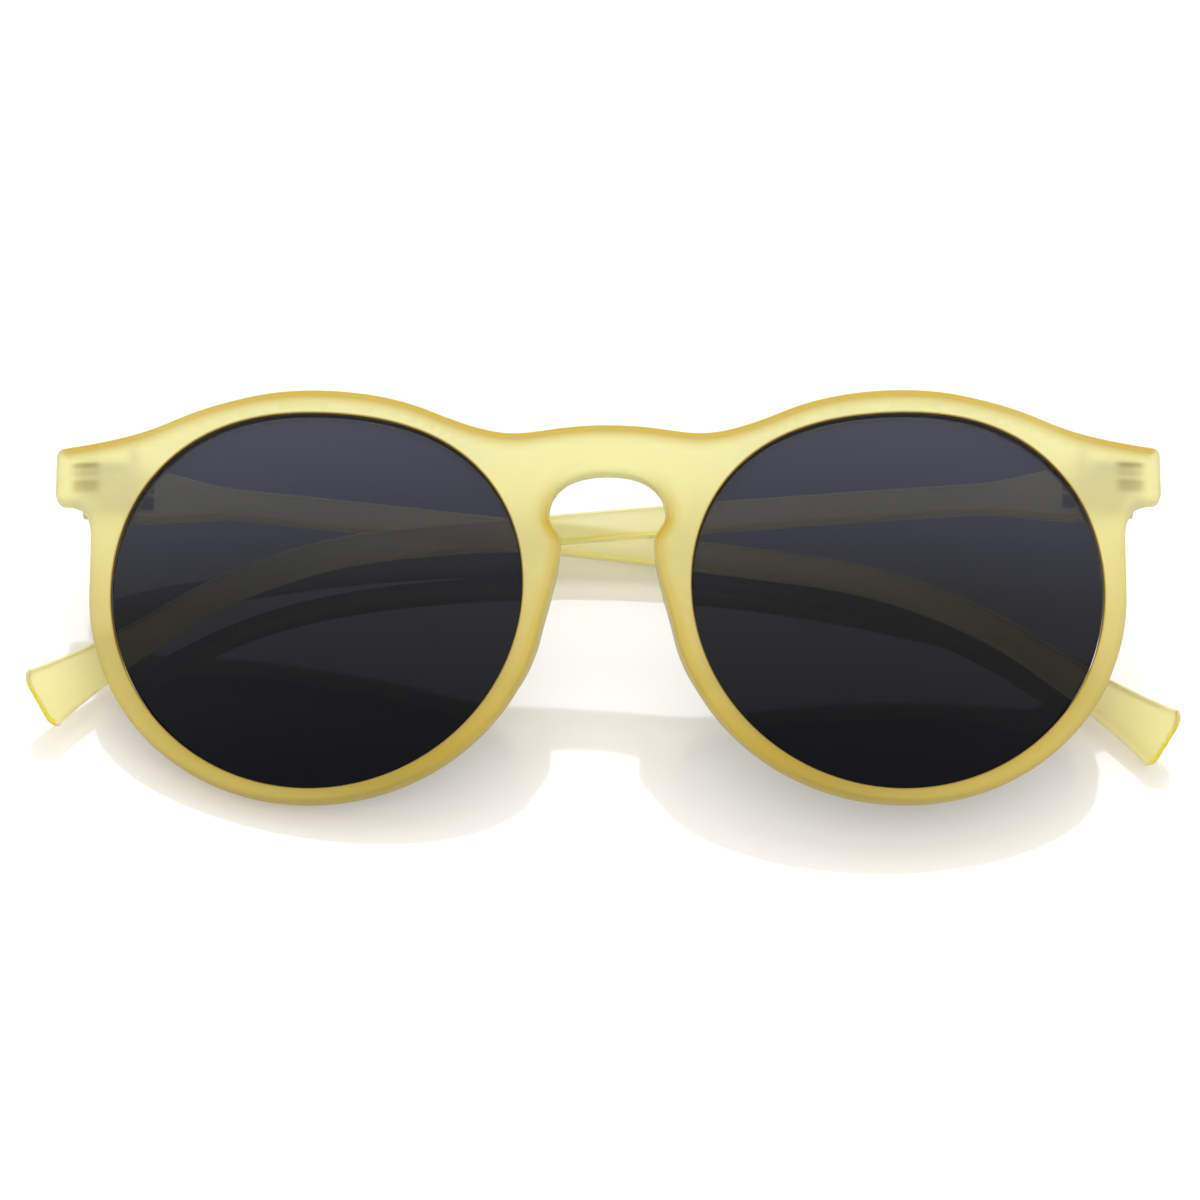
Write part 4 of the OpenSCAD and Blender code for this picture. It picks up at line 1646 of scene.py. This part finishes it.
@dataclass
class TemplePiece:
    """One temple, a bowed strip that bends down behind the ear and ends in a paddle.

    Attributes:
        side: the wearer's side that it is on.
        shape: its sizes, in millimetres.
        root_len: the length over which the slant of its end face fades out.
        leaf_room: how far its inner side is eased back under the hinge's leaf.
        leaf_end: where that ends, along its inner side from the pin.
        leaf_fade: how far it takes to end.
    """

    side: Side
    shape: TempleShape
    root_len: float = 6.0
    leaf_room: float = 0.08
    leaf_end: float = 9.2
    leaf_fade: float = 2.5

    def place(self, x: float, y: float, depth: float) -> Vector:
        """A point of the bowed strip, in the scene.

        Args:
            x: the length along the inner side, from the pin.
            y: the height.
            depth: the distance from the inner side towards the outer one.

        Returns:
            The scene's point.
        """
        shape = self.shape
        thick = shape.thickness(x)
        near = 1 - smooth((x - shape.root_start()) / self.root_len)
        x += (math.tan(shape.root_out) - math.tan(shape.chord_turn)) * depth * near
        under_leaf = 1 - smooth((x - self.leaf_end) / self.leaf_fade)
        seat = (self.leaf_room + x * x / (2 * shape.bow_r)) * under_leaf
        depth += seat * (1 - depth / thick)
        inner, a = shape.inner(x), shape.chord_turn
        deep = depth / math.cos(shape.turn(x) - a)
        return HingeFrame(self.side).on_temple(inner[0] + deep * math.sin(a), y,
                                               inner[1] + deep * math.cos(a))

    def build(self, finish: FrostedPlastic) -> None:
        """Makes the temple and puts it in place of the CAD node.

        Args:
            finish: the temple's plastic.
        """
        shape = self.shape
        plate = RoundedPlate(resample(shape.outline(), 0.5), [], shape.edge_r, shape.edge_r,
                             lambda x, y: shape.thickness(x), spacing=0.9)
        obj = plate.build(f"{self.side.word}_temple_arm", self.place)
        if self.side is Side.LEFT:
            obj.data.flip_normals()
        obj.data.materials.append(finish.material())
        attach(obj, self.side.body)
        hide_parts(f"temple_{self.side.word}")
        LOG.info("%s: %d faces", obj.name, len(obj.data.polygons))


@dataclass
class Studio:
    """The floor, the light and the camera.

    Attributes:
        focus: the point that the camera looks at, in the front's frame, in millimetres.
        distance: the camera's distance from it.
        pixels_per_mm: the picture's scale there.
        picture_w: the picture's width in pixels.
        sensor_w: the camera's sensor width, in millimetres.
        pitch: how far the camera looks past the front's upward axis, in degrees.
        yaw: how far it is turned to the side.
        roll: how far it is turned about its own line of sight.
        floor_half: half the floor's width, in metres.
        floor_colour: the floor's colour.
        floor_shade: its colour where the camera sees it through a lens.
        floor_glow: how bright the floor glows by itself.
        fill: how white the surroundings are as light on the object, from 0 to 1.
        back_colour: the surroundings on the camera's side, for what mirrors them.
        backdrop: the grey levels there from the camera's side to the back, by the direction's Y.
        lamps: each lamp's name, place, size and power.
    """

    focus: Point3 = (-0.87, 25.212, 0.0)
    distance: float = 650.0
    pixels_per_mm: float = 8.0172
    picture_w: int = 1200
    sensor_w: float = 36.0
    pitch: float = 75.33
    yaw: float = 0.633
    roll: float = 0.1465
    floor_half: float = 3.0
    floor_colour: Colour = (0.84, 0.82, 0.79)
    floor_shade: Colour = (0.04, 0.042, 0.05)
    floor_glow: float = 0.12
    fill: float = 1.0
    back_colour: Colour = (0.25, 0.25, 0.26)
    backdrop: tuple[Point2, ...] = ((-0.53, 0.25), (-0.24, 0.5), (0.07, 1.0))
    lamps: tuple[tuple[str, Point3, float, float], ...] = (
        ("lamp_top", (0.0, 1.1, 1.3), 1.4, 8.0),
        ("lamp_front", (0.0, -1.75, 0.6), 0.8, 6.0),
    )

    def camera(self) -> None:
        """Sets the camera where the photograph was taken from."""
        a, b = math.radians(self.pitch), math.radians(self.yaw)
        forward = AXES.way(-math.sin(a) * math.sin(b), math.cos(a), -math.sin(a) * math.cos(b))
        right = forward.cross(AXES.way(0, 1, 0)).normalized()
        right = Matrix.Rotation(-math.radians(self.roll), 3, forward) @ right
        above = right.cross(forward)
        place = AXES.at(*self.focus) - forward * self.distance * MM
        data = bpy.data.cameras.new("camera")
        data.sensor_width = self.sensor_w
        data.lens = self.pixels_per_mm * self.distance / self.picture_w * self.sensor_w
        data.clip_start, data.clip_end = 0.01, 20
        obj = in_scene("camera", data)
        obj.matrix_world = Matrix((
            (right.x, above.x, -forward.x, place.x),
            (right.y, above.y, -forward.y, place.y),
            (right.z, above.z, -forward.z, place.z),
            (0, 0, 0, 1),
        ))
        bpy.context.scene.camera = obj

    def floor(self) -> None:
        """Lays the glossy white floor."""
        mesh = bpy.data.meshes.new("floor")
        s = self.floor_half
        mesh.from_pydata([(-s, -s, 0), (s, -s, 0), (s, s, 0), (-s, s, 0)], [], [(0, 1, 2, 3)])
        obj = make_object("floor", mesh)
        plan = Finish("white_floor")
        path = plan.node("ShaderNodeLightPath").outputs
        seen = plan.calc("ADD", path["Is Camera Ray"], path["Is Glossy Ray"])
        seen = plan.calc("ADD", seen, path["Is Transmission Ray"])
        # Behind a lens the floor lies in the lens's own shade
        dim = plan.calc("MULTIPLY", path["Is Camera Ray"], path["Transparent Depth"], clamp=True)
        bare = plan.calc("SUBTRACT", seen, dim, clamp=True)
        plan.set({
            "Base Color": plan.mixed(dim, self.floor_colour, self.floor_shade),
            "Roughness": 0.06,
            "IOR": 2.0,
        })
        glow = plan.node("ShaderNodeEmission", {
            "Strength": plan.calc("MULTIPLY", bare, self.floor_glow)})
        whole = plan.node("ShaderNodeAddShader", {
            0: plan.shader.outputs["BSDF"], 1: glow.outputs["Emission"]})
        plan.feed(plan.end.inputs["Surface"], whole.outputs["Shader"])
        mesh.materials.append(plan.material)

    def light(self) -> None:
        """Sets the surroundings, white behind and above, and dim on the camera's side."""
        world = bpy.data.worlds.new("studio")
        world.use_nodes = True
        bpy.context.scene.world = world
        plan = ShadePlan(world.node_tree)
        way = plan.node("ShaderNodeTexCoord").outputs["Generated"]
        parts = plan.node("ShaderNodeSeparateXYZ", {"Vector": way})
        depth = plan.span(parts.outputs["Y"], -1.0)
        greys = tuple(((at + 1) / 2, level) for at, level in self.backdrop)
        shade = plan.ramp(depth, ((0.0, self.back_colour), *greys, (1.0, 1.0)))
        path = plan.node("ShaderNodeLightPath").outputs
        seen = plan.calc("ADD", path["Is Camera Ray"], path["Is Transmission Ray"])
        white = plan.calc("MULTIPLY_ADD", path["Is Diffuse Ray"], self.fill, seen)
        back = world.node_tree.nodes["Background"]
        plan.feed(back.inputs["Color"], plan.mixed(white, shade, (1.0, 1.0, 1.0)))
        back.inputs["Strength"].default_value = 1.0
        for name, spot, size, power in self.lamps:
            data = bpy.data.lights.new(name, "AREA")
            data.size, data.energy = size, power
            obj = in_scene(name, data)
            obj.location = spot
            obj.rotation_euler = (-Vector(spot)).to_track_quat("-Z", "Y").to_euler()

    def build(self) -> None:
        """Sets up the whole studio."""
        bpy.context.scene.view_settings.view_transform = "Standard"
        self.floor()
        self.light()
        self.camera()
        LOG.info("studio: floor, lamps and camera")


def main() -> None:
    """Builds the sunglasses piece by piece, then the studio."""
    # The front's plastic, with the hinges' shade painted in its end pieces
    yellow = FrostedPlastic("frosted_yellow", hinge=(0.47, 0.39, 0.13))
    # The temples' plastic, with a bright yellow light painted on the edges that face down
    arm_yellow = FrostedPlastic("frosted_yellow_arm", tint=(1.0, 0.98, 0.66),
                                painted_low_shade=(1.0, 0.95, 0.5), wall=(1.0, 0.93, 0.45),
                                under=(1.0, 0.86, 0.02), under_at=-0.15, density=70.0, clear=0.7,
                                wall_clear=0.3)
    FrontPiece(FRONT).build(yellow)
    lens = SmokeLens().material()
    steel = HingeMetal("hinge_metal", (0.62, 0.60, 0.56), 0.3).material()
    screw = HingeMetal("screw_metal", (0.75, 0.74, 0.72), 0.2).material()
    for side in Side:
        LensPiece(side).build(lens)
        TemplePiece(side, TEMPLE).build(arm_yellow)
        HingePiece(side).build(steel, screw)
    Studio().build()


if __name__ == "__main__":
    main()
